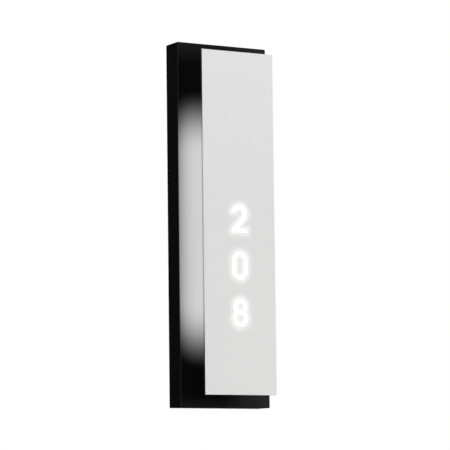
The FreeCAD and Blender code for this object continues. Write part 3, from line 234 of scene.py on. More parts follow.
@dataclass(frozen=True, kw_only=True)
class Finish:
    """A surface: its common name, its colour, and how rough and how bright its shine is."""

    name: str
    colour: str
    roughness: float
    spread: float = 0.04
    specular: float = 0.5
    metallic: float = 0.0

    def material(self) -> bpy.types.Material:
        """Builds the Blender material the first time, and finds it again after that.

        Returns:
            The material.
        """
        made = bpy.data.materials.get(self.name)
        if made is not None:
            return made
        made = bpy.data.materials.new(self.name)
        made.use_nodes = True
        made.diffuse_color = linear(self.colour)
        tree = made.node_tree
        place = NodeSheet(tree).add("TexCoord").outputs["Object"]
        surface = Surface(tree, tree.nodes["Principled BSDF"], place)
        surface.set({
            "Base Color": linear(self.colour), "Roughness": self.roughness, "Metallic": self.metallic,
            "Specular IOR Level": self.specular,
        })
        self.lay(surface)
        return made

    def lay(self, surface: Surface) -> None:
        """Lays the surface's pattern on the shader; each kind of finish has its own."""

    def vary_roughness(self, surface: Surface, pattern: Node) -> None:
        """Lets the roughness follow a pattern, as far as spread to each side of its own value.

        Args:
            surface: The material that is being made.
            pattern: The node that gives the pattern.
        """
        surface.set({"Roughness": surface.add("MapRange", {
            "Value": pattern, "To Min": self.roughness - self.spread, "To Max": self.roughness + self.spread,
        })})

    def vary_colour(self, surface: Surface, pattern: Node, other: str, over: bool = False) -> None:
        """Lets the colour run to another one along a pattern.

        Args:
            surface: The material that is being made.
            pattern: The node that gives the pattern.
            other: The other colour as #rrggbb.
            over: Starts from the colour laid so far, and not from the finish's own.
        """
        base = surface.shader.inputs["Base Color"]
        first = base.links[0].from_socket if over else linear(self.colour)
        mixed = surface.add("Mix", {"Factor": pattern, "A": first, "B": linear(other)}, data_type="RGBA")
        surface.set({"Base Color": mixed.outputs["Result"]})

    def add_relief(self, surface: Surface, height: Node, depth_mm: float) -> None:
        """Raises the surface along a pattern, by depth_mm from its lowest places to its highest."""
        bump = surface.add("Bump", {"Height": height, "Distance": depth_mm * MM, "Strength": 1.0})
        surface.set({"Normal": bump})


@dataclass(frozen=True)
class PaintedSideGlow:
    """Painted light in place of what the opal cover throws beside it, strongest at the cover and gone near
    the ends.
    """

    cover_half_width_mm: float = 26.0
    reach_mm: float = 30.0
    peak: float = 0.638
    fall: float = 0.36
    fall_power: float = 2.8
    half_height_mm: float = 116.0
    corner_pull_mm: float = 7.5
    centre_mm: float = -5.6
    fade_mm: float = 80.0

    def brightness(self, surface: Surface, share: float = 1.0) -> Node:
        """Works out the painted glow at each point from its distance to the cover.

        Args:
            surface: The material that is being made.
            share: How much of the light the surface sends on.

        Returns:
            The node that gives the brightness.
        """
        axes = surface.add("SeparateXYZ", {0: surface.place}).outputs
        side = surface.add("Math", {0: axes["X"]}, operation="ABSOLUTE")
        away = surface.add("MapRange", {
            "Value": side, "From Min": self.cover_half_width_mm * MM,
            "From Max": (self.cover_half_width_mm + self.reach_mm) * MM,
        })
        bent = surface.add("Math", {0: away, 1: self.fall_power}, operation="POWER")
        across = surface.add(
            "Math", {0: bent, 1: -self.fall * share, 2: self.peak * share}, operation="MULTIPLY_ADD",
        )
        height = surface.add("Math", {0: axes["Z"], 1: self.centre_mm * MM}, operation="SUBTRACT")
        rise = surface.add("Math", {0: height}, operation="ABSOLUTE")
        pulled = surface.add(
            "Math", {0: bent, 1: self.corner_pull_mm * MM, 2: rise}, operation="MULTIPLY_ADD",
        )
        along = surface.add("MapRange", {
            "Value": pulled, "From Min": (self.half_height_mm - self.fade_mm / 2) * MM,
            "From Max": (self.half_height_mm + self.fade_mm / 2) * MM, "To Min": 1.0, "To Max": 0.0,
        }, interpolation_type="SMOOTHERSTEP")
        return surface.add("Math", {0: across, 1: along}, operation="MULTIPLY")


@dataclass(frozen=True, kw_only=True)
class PowderCoat(Finish):
    """Baked polyester powder on sheet steel: even and satin, with a faint orange peel."""

    other_colour: str
    peel_mm: float = 1.6
    peel_depth_mm: float = 0.008
    peels_per_cloud: float = 30.0

    def lay(self, surface: Surface) -> None:
        """Lays the orange peel and the slight cloudiness of the coat.

        Args:
            surface: The material that is being made.
        """
        peel, cloud = [
            surface.add("TexNoise", {"Vector": surface.place, "Scale": per_metre(size_mm), "Detail": detail})
            for size_mm, detail in (
                (self.peel_mm, FEW_OCTAVES), (self.peels_per_cloud * self.peel_mm, SOME_OCTAVES),
            )
        ]
        self.vary_roughness(surface, cloud)
        self.vary_colour(surface, cloud, self.other_colour)
        self.add_relief(surface, peel, self.peel_depth_mm)


@dataclass(frozen=True, kw_only=True)
class PowderCoatWithPaintedGlow(PowderCoat):
    """The case's coat: a painted glow on its front, a painted sheen to the right, painted highlights on the
    folds.
    """

    painted_glow: PaintedSideGlow = PaintedSideGlow()
    half_width_mm: float = 56.0
    front_mm: float = 26.0
    edge_mm: float = 0.6
    # A painted sheen: the coat's colour towards the right end
    right_sheen_colour: str = "#2c2c2d"
    # A painted highlight: the coat's colour along the upright folds
    fold_highlight_colour: str = "#4e4e4f"
    fold_highlight_mm: tuple[float, float] = (0.9, 0.5)

    def lay(self, surface: Surface) -> None:
        """Lays the coat with painted sheen and fold highlights, and a painted glow on the front face alone.

        Args:
            surface: The material that is being made.
        """
        super().lay(surface)
        axes = surface.add("SeparateXYZ", {0: surface.place}).outputs
        on_front = surface.add("MapRange", {
            "Value": axes["Y"], "From Min": -self.front_mm * MM,
            "From Max": (self.edge_mm - self.front_mm) * MM, "To Min": 1.0, "To Max": 0.0,
        })
        # Painted glow: emission in place of the opal cover's light on the case's front face
        light = surface.add("Math", {0: self.painted_glow.brightness(surface), 1: on_front}, operation="MULTIPLY")
        surface.shine(light)
        # Painted sheen: the coat turns paler towards the right end
        right_sheen_share = surface.add("MapRange", {"Value": axes["X"], "From Max": self.half_width_mm * MM})
        # Painted highlight: the coat is lighter along the upright folds
        side = surface.add("Math", {0: axes["X"]}, operation="ABSOLUTE")
        reach = surface.add("Math", {0: side, 1: axes["Y"]}, operation="SUBTRACT")
        near_mm, full_mm = (self.half_width_mm + self.front_mm - from_corner for from_corner in self.fold_highlight_mm)
        on_fold_highlight = surface.add("MapRange", {
            "Value": reach, "From Min": near_mm * MM, "From Max": full_mm * MM,
        })
        self.vary_colour(surface, right_sheen_share, self.right_sheen_colour, over=True)
        self.vary_colour(surface, on_fold_highlight, self.fold_highlight_colour, over=True)


@dataclass(frozen=True, kw_only=True)
class CoreBoard(Finish):
    """The plate's black polyethylene core: matt and sawn, with a painted glow for the opal cover's light
    behind it.
    """

    spread: float = 0.08
    specular: float = 0.1
    saw_mm: float = 0.8
    saw_depth_mm: float = 0.01
    painted_glow: PaintedSideGlow = PaintedSideGlow()
    glow_share: float = 0.66

    def lay(self, surface: Surface) -> None:
        """Lays the saw's fine marks and the painted glow on the core.

        Args:
            surface: The material that is being made.
        """
        marks = surface.add("TexNoise", {
            "Vector": surface.place, "Scale": per_metre(self.saw_mm), "Detail": SOME_OCTAVES,
        })
        self.vary_roughness(surface, marks)
        self.add_relief(surface, marks, self.saw_depth_mm)
        # Painted glow: emission in place of the opal cover's light on the core
        light = self.painted_glow.brightness(surface, self.glow_share)
        surface.shine(light)


@dataclass(frozen=True, kw_only=True)
class DrawnMetal(Finish):
    """Rolled, drawn or brushed metal: fine straight lines that roughen the shine one way."""

    other_colour: str
    line_mm: float
    grain: Grain = Grain.ALONG_Z
    depth_mm: float = 0.002
    line_roughness: float = 0.6
    spread: float = 0.05
    metallic: float = 1.0

    def lay(self, surface: Surface) -> None:
        """Lays the lines as noise that is stretched along the grain.

        Args:
            surface: The material that is being made.
        """
        stretched = surface.add("Mapping", {"Vector": surface.place, "Scale": self.grain.value})
        lines = surface.add("TexNoise", {
            "Vector": stretched, "Scale": per_metre(self.line_mm), "Detail": MANY_OCTAVES,
            "Roughness": self.line_roughness,
        })
        self.vary_roughness(surface, lines)
        self.vary_colour(surface, lines, self.other_colour)
        self.add_relief(surface, lines, self.depth_mm)


@dataclass(frozen=True)
class PaintedNumeralHalo:
    """Painted light: the soft halo that each of the three lit numerals leaves on the plate close round it."""

    half_width_mm: float = 9.0
    half_height_mm: float = 15.0
    middle_mm: float = -47.5
    pitch_mm: float = 51.3
    fade_mm: float = 4.0
    peak: float = 0.008

    def brightness(self, surface: Surface) -> Node:
        """Works out the painted halo from the distance to the nearest numeral's box.

        Args:
            surface: The material that is being made.

        Returns:
            The node that gives the brightness.
        """
        axes = surface.add("SeparateXYZ", {0: surface.place}).outputs
        rise = surface.add("Math", {0: axes["Z"], 1: -self.middle_mm * MM}, operation="ADD")
        count = surface.add("Math", {0: rise, 1: self.pitch_mm * MM}, operation="DIVIDE")
        nearest = surface.add("Math", {0: count}, operation="ROUND")
        lowest = surface.add("Math", {0: nearest, 1: -1.0}, operation="MAXIMUM")
        numeral = surface.add("Math", {0: lowest, 1: 1.0}, operation="MINIMUM")
        own_rise = surface.add(
            "Math", {0: numeral, 1: -self.pitch_mm * MM, 2: rise}, operation="MULTIPLY_ADD",
        )
        squares = []
        for distance, half_mm in ((axes["X"], self.half_width_mm), (own_rise, self.half_height_mm)):
            size = surface.add("Math", {0: distance}, operation="ABSOLUTE")
            past = surface.add("Math", {0: size, 1: half_mm * MM}, operation="SUBTRACT")
            outside = surface.add("Math", {0: past, 1: 0.0}, operation="MAXIMUM")
            squares.append(surface.add("Math", {0: outside, 1: 2.0}, operation="POWER"))
        total = surface.add("Math", {0: squares[0], 1: squares[1]}, operation="ADD")
        away = surface.add("Math", {0: total}, operation="SQRT")
        falling = surface.fading(away, self.fade_mm)
        return surface.add("Math", {0: falling, 1: self.peak}, operation="MULTIPLY")


@dataclass(frozen=True, kw_only=True)
class MetalWithPaintedHalo(DrawnMetal):
    """The plate's satin skin: a painted halo and a painted lighter top, and a cut edge black like the core
    with a painted glow.
    """

    painted_halo: PaintedNumeralHalo = PaintedNumeralHalo()
    painted_glow: PaintedSideGlow = PaintedSideGlow()
    # The share of the painted glow that lies on the cut edge
    edge_glow_share: float = 0.66
    edge_colour: str = "#070707"
    # A painted lighter top: the plate's colour where the light falls on its upper end
    lit_top_colour: str = "#e1e1e1"
    lit_top_mm: float = 190.0
    edge_from_mm: float = 44.44
    edge_to_mm: float = 44.48
    # The painted halo's strength at the numerals' outlines, and its fade
    outline_light: float = 0.24
    outline_fade_mm: float = 2.0

    def lay(self, surface: Surface) -> None:
        """Lays the brushed lines, the painted lighter top, the painted halo and the blackened edge with its
        painted glow.

        Args:
            surface: The material that is being made.
        """
        super().lay(surface)
        axes = surface.add("SeparateXYZ", {0: surface.place}).outputs
        side = surface.add("Math", {0: axes["X"]}, operation="ABSOLUTE")
        on_edge = surface.add("MapRange", {
            "Value": side, "From Min": self.edge_from_mm * MM, "From Max": self.edge_to_mm * MM,
        })
        # Painted light: the plate turns paler towards its top
        lit_top_share = surface.add("MapRange", {"Value": axes["Z"], "From Max": self.lit_top_mm * MM})
        self.vary_colour(surface, lit_top_share, self.lit_top_colour, over=True)
        self.vary_colour(surface, on_edge, self.edge_colour, over=True)
        # Painted halo: emission round the numerals' outlines and boxes, in place of the light they spill
        distance = surface.add("Attribute", attribute_name=OUTLINE).outputs["Fac"]
        falling = surface.fading(distance, self.outline_fade_mm)
        painted_halo_light = surface.add(
            "Math", {0: falling, 1: self.outline_light, 2: self.painted_halo.brightness(surface)},
            operation="MULTIPLY_ADD",
        )
        # Painted glow on the cut edge, in place of the opal cover's light
        painted_edge_glow = self.painted_glow.brightness(surface, self.edge_glow_share)
        light = surface.add("Mix", {"Factor": on_edge, "A": painted_halo_light, "B": painted_edge_glow}, data_type="FLOAT")
        surface.shine(light)


@dataclass(frozen=True, kw_only=True)
class ZincPlate(Finish):
    """Zinc on sheet steel: a soft metal shine with crystals a few millimetres wide that differ a little."""

    other_colour: str
    spread: float = 0.07
    metallic: float = 1.0
    crystal_mm: float = 5.0
    mottle_mm: float = 1.25
    mottle_depth_mm: float = 0.004
    crystal_share: float = 0.5
    tones: tuple[float, float] = (0.35, 1.2)

    def lay(self, surface: Surface) -> None:
        """Lays the crystals and a finer mottle over them.

        Args:
            surface: The material that is being made.
        """
        crystals = surface.add(
            "TexVoronoi", {"Vector": surface.place, "Scale": per_metre(self.crystal_mm)}, feature="F1",
        )
        tone = surface.add("SeparateColor", {0: crystals.outputs["Color"]})
        mottle = surface.add("TexNoise", {
            "Vector": surface.place, "Scale": per_metre(self.mottle_mm), "Detail": MANY_OCTAVES,
        })
        both = surface.add("Math", {0: tone, 1: self.crystal_share, 2: mottle}, operation="MULTIPLY_ADD")
        share = surface.add("MapRange", {"Value": both, "From Min": self.tones[0], "From Max": self.tones[1]})
        self.vary_colour(surface, share, self.other_colour)
        self.vary_roughness(surface, share)
        self.add_relief(surface, mottle, self.mottle_depth_mm)


@dataclass(frozen=True, kw_only=True)
class MouldedPlastic(Finish):
    """Injection moulded plastic or rubber: an even colour and the mould's fine eroded texture."""

    other_colour: str
    spread: float = 0.05
    texture_mm: float = 0.5
    texture_depth_mm: float = 0.01
    textures_per_drift: float = 24.0

    def lay(self, surface: Surface) -> None:
        """Lays the mould's texture and a slight drift in the colour.

        Args:
            surface: The material that is being made.
        """
        texture, drift = [
            surface.add("TexNoise", {"Vector": surface.place, "Scale": per_metre(size_mm), "Detail": detail})
            for size_mm, detail in (
                (self.texture_mm, SOME_OCTAVES), (self.textures_per_drift * self.texture_mm, FEW_OCTAVES),
            )
        ]
        self.vary_colour(surface, drift, self.other_colour)
        self.vary_roughness(surface, texture)
        self.add_relief(surface, texture, self.texture_depth_mm)


@dataclass(frozen=True, kw_only=True)
class StripedSleeve(MouldedPlastic):
    """The earth lead's sleeve: bands of two colours that wind round it.

    The wave texture turns through wave_radians per unit, which sets its scale for bands of a real width.
    """

    stripe_colour: str = "#e0c01c"
    stripe_mm: float = 5.0
    slant_radians: tuple[float, float, float] = (0.0, 0.6, 0.5)
    wave_radians: float = 20.0
    band_edge: tuple[float, float] = (0.45, 0.55)

    def lay(self, surface: Surface) -> None:
        """Lays the sleeve's texture and its slanted bands.

        Args:
            surface: The material that is being made.
        """
        super().lay(surface)
        slanted = surface.add("Mapping", {"Vector": surface.place, "Rotation": self.slant_radians})
        scale = per_metre(self.stripe_mm) / self.wave_radians * math.tau
        bands = surface.add(
            "TexWave", {"Vector": slanted, "Scale": scale}, bands_direction="X", wave_profile="SIN",
        ).outputs["Fac"]
        low, high = self.band_edge
        edge = surface.add("MapRange", {"Value": bands, "From Min": low, "From Max": high})
        self.vary_colour(surface, edge, self.stripe_colour)


@dataclass(frozen=True, kw_only=True)
class LitAcrylic(Finish):
    """Opal acrylic with light behind it: it glows by itself, under a fine haze."""

    glow_colour: str = "#ffffff"
    strength: float = 1.0
    haze_mm: float = 0.6
    ior: float = 1.49

    def share(self, surface: Surface) -> Node:
        """Works out the share of the light that leaves each point; each kind has its own."""
        raise NotImplementedError

    def lay(self, surface: Surface) -> None:
        """Lays the light and the haze.

        Args:
            surface: The material that is being made.
        """
        colour = linear(self.glow_colour)[:3]
        light = surface.add("VectorMath", {0: colour, "Scale": self.share(surface)}, operation="SCALE")
        haze = surface.add("TexNoise", {
            "Vector": surface.place, "Scale": per_metre(self.haze_mm), "Detail": FEW_OCTAVES,
        })
        self.vary_roughness(surface, haze)
        surface.set({"IOR": self.ior})
        surface.shine(light, self.strength)


@dataclass(frozen=True, kw_only=True)
class OpalAcrylic(LitAcrylic):
    """Opal acrylic over LEDs: milky and even, a touch brighter in front of each LED."""

    led_pitch_mm: float = 15.0
    ripple: float = 0.03
    lit_half_height_mm: float = 500.0
    end_fade_mm: float = 30.0
    end_share: float = 0.5

    def share(self, surface: Surface) -> Node:
        """Works out the LEDs' faint rhythm and the dimmer ends.

        Args:
            surface: The material that is being made.

        Returns:
            The node that gives the share.
        """
        axes = surface.add("SeparateXYZ", {0: surface.place}).outputs
        turns = surface.add(
            "Math", {0: axes["Z"], 1: math.tau * per_metre(self.led_pitch_mm)}, operation="MULTIPLY",
        )
        rhythm = surface.add("Math", {0: turns}, operation="COSINE")
        rippled = surface.add("MapRange", {
            "Value": rhythm, "From Min": -1.0, "From Max": 1.0, "To Min": 1.0 - 2 * self.ripple,
            "To Max": 1.0,
        })
        height = surface.add("Math", {0: axes["Z"]}, operation="ABSOLUTE")
        along = surface.add("MapRange", {
            "Value": height, "From Min": (self.lit_half_height_mm - self.end_fade_mm) * MM,
            "From Max": self.lit_half_height_mm * MM, "To Min": 1.0, "To Max": self.end_share,
        }, interpolation_type="SMOOTHSTEP")
        return surface.add("Math", {0: rippled, 1: along}, operation="MULTIPLY")


@dataclass(frozen=True, kw_only=True)
class LitNumeral(LitAcrylic):
    """A clear-faced opal numeral: white in the middle of each stroke and dimmer at its outline."""

    middle_light: float
    outline_light: float
    shade_mm: float = 2.0

    def share(self, surface: Surface) -> Node:
        """Works out the light across each stroke.

        Args:
            surface: The material that is being made.

        Returns:
            The node that gives the share.
        """
        distance = surface.add("Attribute", attribute_name=OUTLINE).outputs["Fac"]
        return surface.add("MapRange", {
            "Value": distance, "From Max": self.shade_mm * MM, "To Min": self.outline_light,
            "To Max": self.middle_light,
        })


@dataclass(frozen=True, kw_only=True)
class CircuitBoard(Finish):
    """Glass-filled laminate under solder mask, with the raised run of its copper tracks."""

    track_colour: str
    track_mm: tuple[float, float] = (1.9, 13.0)
    track_depth_mm: float = 0.035
    gap_mm: float = 0.22
    gap_softness: float = 0.3
    low_track: float = 0.6
    stagger: float = 0.37
    squash: float = 0.6
    squash_rows: int = 3

    def lay(self, surface: Surface) -> None:
        """Lays straight tracks that run up the board in staggered lengths, with bare laminate between them.

        Args:
            surface: The material that is being made.
        """
        axes = surface.add("SeparateXYZ", {0: surface.place}).outputs
        flat = surface.add("CombineXYZ", {"X": axes["Z"], "Y": axes["X"]})
        width, length = metres(self.track_mm)
        high_tone, low_tone, gap_tone = [(tone, tone, tone, 1.0) for tone in (1.0, self.low_track, 0.0)]
        layout = surface.add("TexBrick", {
            "Vector": flat, "Color1": high_tone, "Color2": low_tone, "Mortar": gap_tone, "Scale": 1.0,
            "Mortar Size": self.gap_mm * MM / 2, "Mortar Smooth": self.gap_softness,
            "Brick Width": length, "Row Height": width,
        }, offset=self.stagger, squash=self.squash, squash_frequency=self.squash_rows)
        tracks = surface.add("SeparateColor", {0: layout.outputs["Color"]})
        self.vary_colour(surface, tracks, self.track_colour)
        self.add_relief(surface, tracks, self.track_depth_mm)


@dataclass(frozen=True, kw_only=True)
class StudioFloor(Finish):
    """Pale matt floor paint round the object, which runs out into the white surround."""

    specular: float = 0.0
    near: float = 1.0
    far: float = 3.5
    bounce_colour: str = "#7c7c7a"

    def lay(self, surface: Surface) -> None:
        """Lets the floor's own colour give way to plain white with the distance from the object.

        Args:
            surface: The material that is being made.
        """
        distance = surface.add("VectorMath", {0: surface.place}, operation="LENGTH").outputs["Value"]
        away = surface.add(
            "MapRange", {"Value": distance, "From Min": self.near, "From Max": self.far},
            interpolation_type="SMOOTHSTEP",
        )
        seen = surface.seen_by("Is Camera Ray", "Is Glossy Ray")
        shown = surface.add("Mix", {
            "Factor": seen, "A": linear(self.bounce_colour), "B": linear(self.colour),
        }, data_type="RGBA").outputs["Result"]
        colour = surface.add("Mix", {
            "Factor": away, "A": shown, "B": linear("#000000"),
        }, data_type="RGBA").outputs["Result"]
        white = surface.add("Math", {0: away, 1: seen}, operation="MULTIPLY")
        surface.set({"Base Color": colour})
        surface.shine(white)


# The finish of each material slot in the record, with what it gives the eye
FINISHES: dict[str, Finish] = {
    # Baked black coat: deep and satin, it mirrors very little, so the painted glow on it stands out and fades
    # to black; a painted sheen runs to its right end and a painted highlight runs along its folds
    "black_powder_coat": PowderCoatWithPaintedGlow(
        name="black_satin_powder_coat", colour="#1b1b1c", roughness=0.45, other_colour="#1e1e1f",
        specular=0.001,
    ),
    # Zinc on steel: a cool bright grey, mottled by crystals a few millimetres wide
    "zinc_steel": ZincPlate(
        name="zinc_plated_sheet_steel", colour="#b4b8bd", roughness=0.38, other_colour="#c9ccd0",
    ),
    # Plated screws: small bright points with dark threads; the lines are coarser than real turning
    # marks, to show
    "screw_steel": DrawnMetal(
        name="plated_screw_steel", colour="#b0b0b2", roughness=0.3, other_colour="#c4c4c4", line_mm=0.3,
        grain=Grain.ALONG_X,
    ),
    # Rubber of the bushes: matt and dull, with no clear highlight; its texture is drawn coarser than it
    # is, to show
    "black_rubber": MouldedPlastic(
        name="moulded_black_rubber", colour="#18181a", roughness=0.72, other_colour="#202022", texture_mm=0.7,
        specular=0.3,
    ),
    # Polyamide of the terminals, the plug and the clips: an even light grey with a soft highlight on
    # each edge
    "grey_plastic": MouldedPlastic(
        name="grey_polyamide", colour="#b3b5b7", roughness=0.48, other_colour="#abadaf",
    ),
    # Polyamide of the levers: the one clear colour, which tells the eye what to lift
    "lever_plastic": MouldedPlastic(
        name="teal_polyamide", colour="#5d97a3", roughness=0.34, other_colour="#558f9c",
    ),
    # Stamped brass of the contacts and the tag: a warm yellow shine with the strip's rolling lines
    "brass_contact": DrawnMetal(
        name="stamped_brass", colour="#d9b36a", roughness=0.28, other_colour="#c99f58", line_mm=0.4,
    ),
    # Polycarbonate of the driver's box: off-white and softly matt, so that its ribs read by their shade
    "driver_plastic": MouldedPlastic(
        name="pale_polycarbonate", colour="#e4e4e0", roughness=0.46, other_colour="#dcdcd8", texture_mm=0.8,
        texture_depth_mm=0.014,
    ),
    # Glass laminate under green mask: glossy, with tracks raised under it, drawn wider than real ones,
    # to show
    "green_board": CircuitBoard(
        name="green_circuit_board", colour="#2d6b3f", roughness=0.36, track_colour="#3c8450",
    ),
    # Pressed ferrite of the core: a dead dark grey like cast iron
    "dark_component": MouldedPlastic(
        name="dark_ferrite", colour="#4b4b50", roughness=0.58, other_colour="#424247",
    ),
    # Shrunk sleeve of the capacitors: dark blue film with a sharp highlight down each can
    "capacitor_sleeve": MouldedPlastic(
        name="shrunk_blue_sleeve", colour="#23304a", roughness=0.26, other_colour="#1e2a42", texture_mm=1.5,
        texture_depth_mm=0.004,
    ),
    # Soft vinyl of the live lead: brown, with a long soft highlight that shows its bends
    "brown_lead": MouldedPlastic(
        name="brown_lead_sleeve", colour="#6b422a", roughness=0.42, other_colour="#633c26",
    ),
    # Soft vinyl of the neutral lead: blue, with the same highlight
    "blue_lead": MouldedPlastic(
        name="blue_lead_sleeve", colour="#2f66b4", roughness=0.42, other_colour="#2b5ea8",
    ),
    # Soft vinyl of the earth lead: green with yellow bands that wind round it
    "earth_lead_sleeve": StripedSleeve(
        name="green_yellow_lead_sleeve", colour="#3f9a45", roughness=0.42, other_colour="#3a9040",
    ),
    # Soft vinyl of the low voltage leads: plain white
    "white_lead": MouldedPlastic(
        name="white_lead_sleeve", colour="#e6e6e4", roughness=0.4, other_colour="#dededc",
    ),
    # Baked white coat in the light box: bright and matt, so that it throws the light back without a glare
    "white_paint": PowderCoat(
        name="white_powder_coat", colour="#ecebe8", roughness=0.42, other_colour="#e7e6e3", peel_mm=1.2,
    ),
    # Mill finish aluminium of the spacers and the carrier: pale, with lines along the drawn bar,
    # coarser to show
    "raw_aluminium": DrawnMetal(
        name="mill_finish_aluminium", colour="#d4d6d9", roughness=0.34, other_colour="#c8cacd", line_mm=0.5,
    ),
    # Laminate under white mask: glossy white, its tracks only just raised
    "white_board": CircuitBoard(
        name="white_led_board", colour="#eeeeea", roughness=0.34, track_colour="#f6f6f3",
    ),
    # Phosphor resin of the LEDs: small yellowish windows that shine warm white
    "led_phosphor": OpalAcrylic(
        name="yellow_phosphor_resin", colour="#fff4c8", roughness=0.4, glow_colour="#fffdf5", ripple=0.0,
    ),
    # Opal acrylic of the cover: milky and lit from within, faintly brighter in front of each LED
    "opal_acrylic": OpalAcrylic(
        name="extruded_opal_acrylic", colour="#979795", roughness=0.4, strength=0.58,
        lit_half_height_mm=120.0,
    ),
    # Lit acrylic of the numerals: the brightest thing on the object, white in each stroke and softer at
    # its outline
    "digit_acrylic": LitNumeral(
        name="lit_numeral_acrylic", colour="#c5c5c3", roughness=0.3, middle_light=0.6, outline_light=0.28,
    ),
    # Anodised aluminium of the plate: pale, even and satin, with a painted halo round the numerals and a
    # painted lighter top; its lines are coarser than real ones, and barely show
    "face_aluminium": MetalWithPaintedHalo(
        name="satin_anodised_aluminium", colour="#dddddd", roughness=0.36, other_colour="#dadada",
        line_mm=0.35, depth_mm=0.001, spread=0.03,
    ),
    # Polyethylene of the plate's core: matt black, a dark line round the pale face, with a painted glow on it
    "black_core": CoreBoard(name="black_plate_core", colour="#070707", roughness=0.6),
}


# Modelling in mesh code

def select_only(*pieces: Piece) -> None:
    """Selects one piece or nothing, since an operator acts on all that is selected.

    Args:
        pieces: The piece, which becomes the active one, or none.
    """
    bpy.ops.object.select_all(action="DESELECT")
    for piece in pieces:
        piece.select_set(True)
        bpy.context.view_layer.objects.active = piece


class Shaping:
    """Edit mode on one piece, with faces and edges picked by their place or normal."""

    def __init__(self, piece: Piece) -> None:
        """Keeps the piece that is to be shaped."""
        self.piece = piece

    def __enter__(self) -> "Shaping":
        """Goes into edit mode with nothing selected.

        Returns:
            The helper itself.
        """
        select_only(self.piece)
        bpy.ops.object.mode_set(mode="EDIT")
        bpy.ops.mesh.select_all(action="DESELECT")
        return self

    def __exit__(self, *problem: object) -> None:
        """Goes back to object mode."""
        bpy.ops.object.mode_set(mode="OBJECT")

    def pick(self, kind: str, wanted: Callable[[Face | Edge], bool]) -> int:
        """Selects faces or edges, and nothing else.

        Args:
            kind: FACE or EDGE.
            wanted: A test of one face or edge.

        Returns:
            How many are selected.
        """
        bpy.ops.mesh.select_mode(type=kind)
        bpy.ops.mesh.select_all(action="DESELECT")
        mesh = bmesh.from_edit_mesh(self.piece.data)
        parts = mesh.faces if kind == "FACE" else mesh.edges
        for part in parts:
            part.select_set(wanted(part))
        mesh.select_flush_mode()
        bmesh.update_edit_mesh(self.piece.data)
        return sum(part.select for part in parts)

    def close_normals(self) -> None:
        """Merges doubles and turns every face outwards."""
        bpy.ops.mesh.select_all(action="SELECT")
        bpy.ops.mesh.remove_doubles(threshold=MERGE_DISTANCE)
        bpy.ops.mesh.normals_make_consistent(inside=False)


def shade(piece: Piece, crease: float = CREASE_ANGLE) -> Piece:
    """Shades a piece smooth, except across its creases, and keeps its large faces flat.

    Args:
        piece: The piece.
        crease: The angle above which an edge is a crease.

    Returns:
        The same piece.
    """
    select_only(piece)
    bpy.ops.mesh.customdata_custom_splitnormals_clear()
    bpy.ops.object.shade_smooth_by_angle(angle=crease)
    bpy.ops.object.modifier_add(type="WEIGHTED_NORMAL")
    weighted = piece.modifiers[-1]
    weighted.keep_sharp = True
    bpy.ops.object.modifier_apply(modifier=weighted.name)
    return piece


def settle(piece: Piece) -> Piece:
    """Puts a piece's place, turn and scale into its mesh.

    Args:
        piece: The piece.

    Returns:
        The same piece.
    """
    select_only(piece)
    bpy.ops.object.transform_apply(location=True, rotation=True, scale=True)
    return piece


def block(name: str, low: Point, high: Point) -> Piece:
    """Starts a piece as a block.

    Args:
        name: The piece's name.
        low: Its lowest corner.
        high: Its highest corner.

    Returns:
        The block, with its place in its mesh.
    """
    select_only()
    low, high = Vector(low), Vector(high)
    bpy.ops.mesh.primitive_cube_add(size=1.0, location=(low + high) / 2, scale=high - low)
    piece = bpy.context.active_object
    piece.name = name
    return settle(piece)


def copy_of_node(node: str, name: str) -> Piece:
    """Copies a CAD node into a new piece, with its doubles merged and its flat faces whole.

    Args:
        node: The node's name.
        name: The new piece's name.

    Returns:
        The copy, which rides on nothing yet.
    """
    select_only(frame["nodes"][node])
    bpy.ops.object.duplicate()
    piece = bpy.context.active_object
    piece.name = name
    for key in [key for key in piece.keys() if key.startswith("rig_")]:
        del piece[key]
    bpy.ops.object.parent_clear(type="CLEAR_KEEP_TRANSFORM")
    bpy.ops.object.mode_set(mode="EDIT")
    bpy.ops.mesh.select_all(action="SELECT")
    bpy.ops.mesh.customdata_custom_splitnormals_clear()
    bpy.ops.mesh.remove_doubles(threshold=MERGE_DISTANCE)
    bpy.ops.mesh.dissolve_limited(angle_limit=FLAT_ANGLE)
    bpy.ops.object.mode_set(mode="OBJECT")
    return piece


def round_edges(piece: Piece, width_mm: float, segments: int = 2) -> Piece:
    """Rounds a piece's long sharp edges, as a tool, a mould or a coat of paint leaves them.

    Args:
        piece: The piece.
        width_mm: How wide the rounding is.
        segments: How many facets it has.

    Returns:
        The same piece, shaded.
    """
    width = width_mm * MM

    def takes_rounding(edge: Edge) -> bool:
        """Tells whether an edge is sharp, and long enough."""
        folded = edge.is_manifold and edge.calc_face_angle() > SHARP_ANGLE
        return folded and edge.calc_length() > SHORTEST_EDGE * width

    with Shaping(piece) as shaping:
        if shaping.pick("EDGE", takes_rounding):
            bpy.ops.mesh.bevel(offset=width, segments=segments, affect="EDGES", clamp_overlap=False)
    return shade(piece)


def outline_tree(nodes: tuple[str, ...]) -> KDTree:
    """Collects closely spaced points on the front outlines of CAD nodes, for measuring distances.

    Args:
        nodes: The nodes whose outlines count.

    Returns:
        The points in a search tree.
    """
    points: list[Vector] = []
    for node in nodes:
        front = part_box(node)[0].y
        source = copy_of_node(node, f"{node}_outline")
        with Shaping(source):
            for edge in bmesh.from_edit_mesh(source.data).edges:
                one, two = (vertex.co for vertex in edge.verts)
                if max(one.y, two.y) < front + MERGE_DISTANCE and edge.calc_face_angle(0.0) > SHARP_ANGLE:
                    count = max(1, math.ceil((two - one).length / OUTLINE_SPACING))
                    points += [one.lerp(two, step / count) for step in range(count + 1)]
        bpy.data.objects.remove(source, do_unlink=True)
    tree = KDTree(len(points))
    for index, point in enumerate(points):
        tree.insert((point.x, 0.0, point.z), index)
    tree.balance()
    return tree


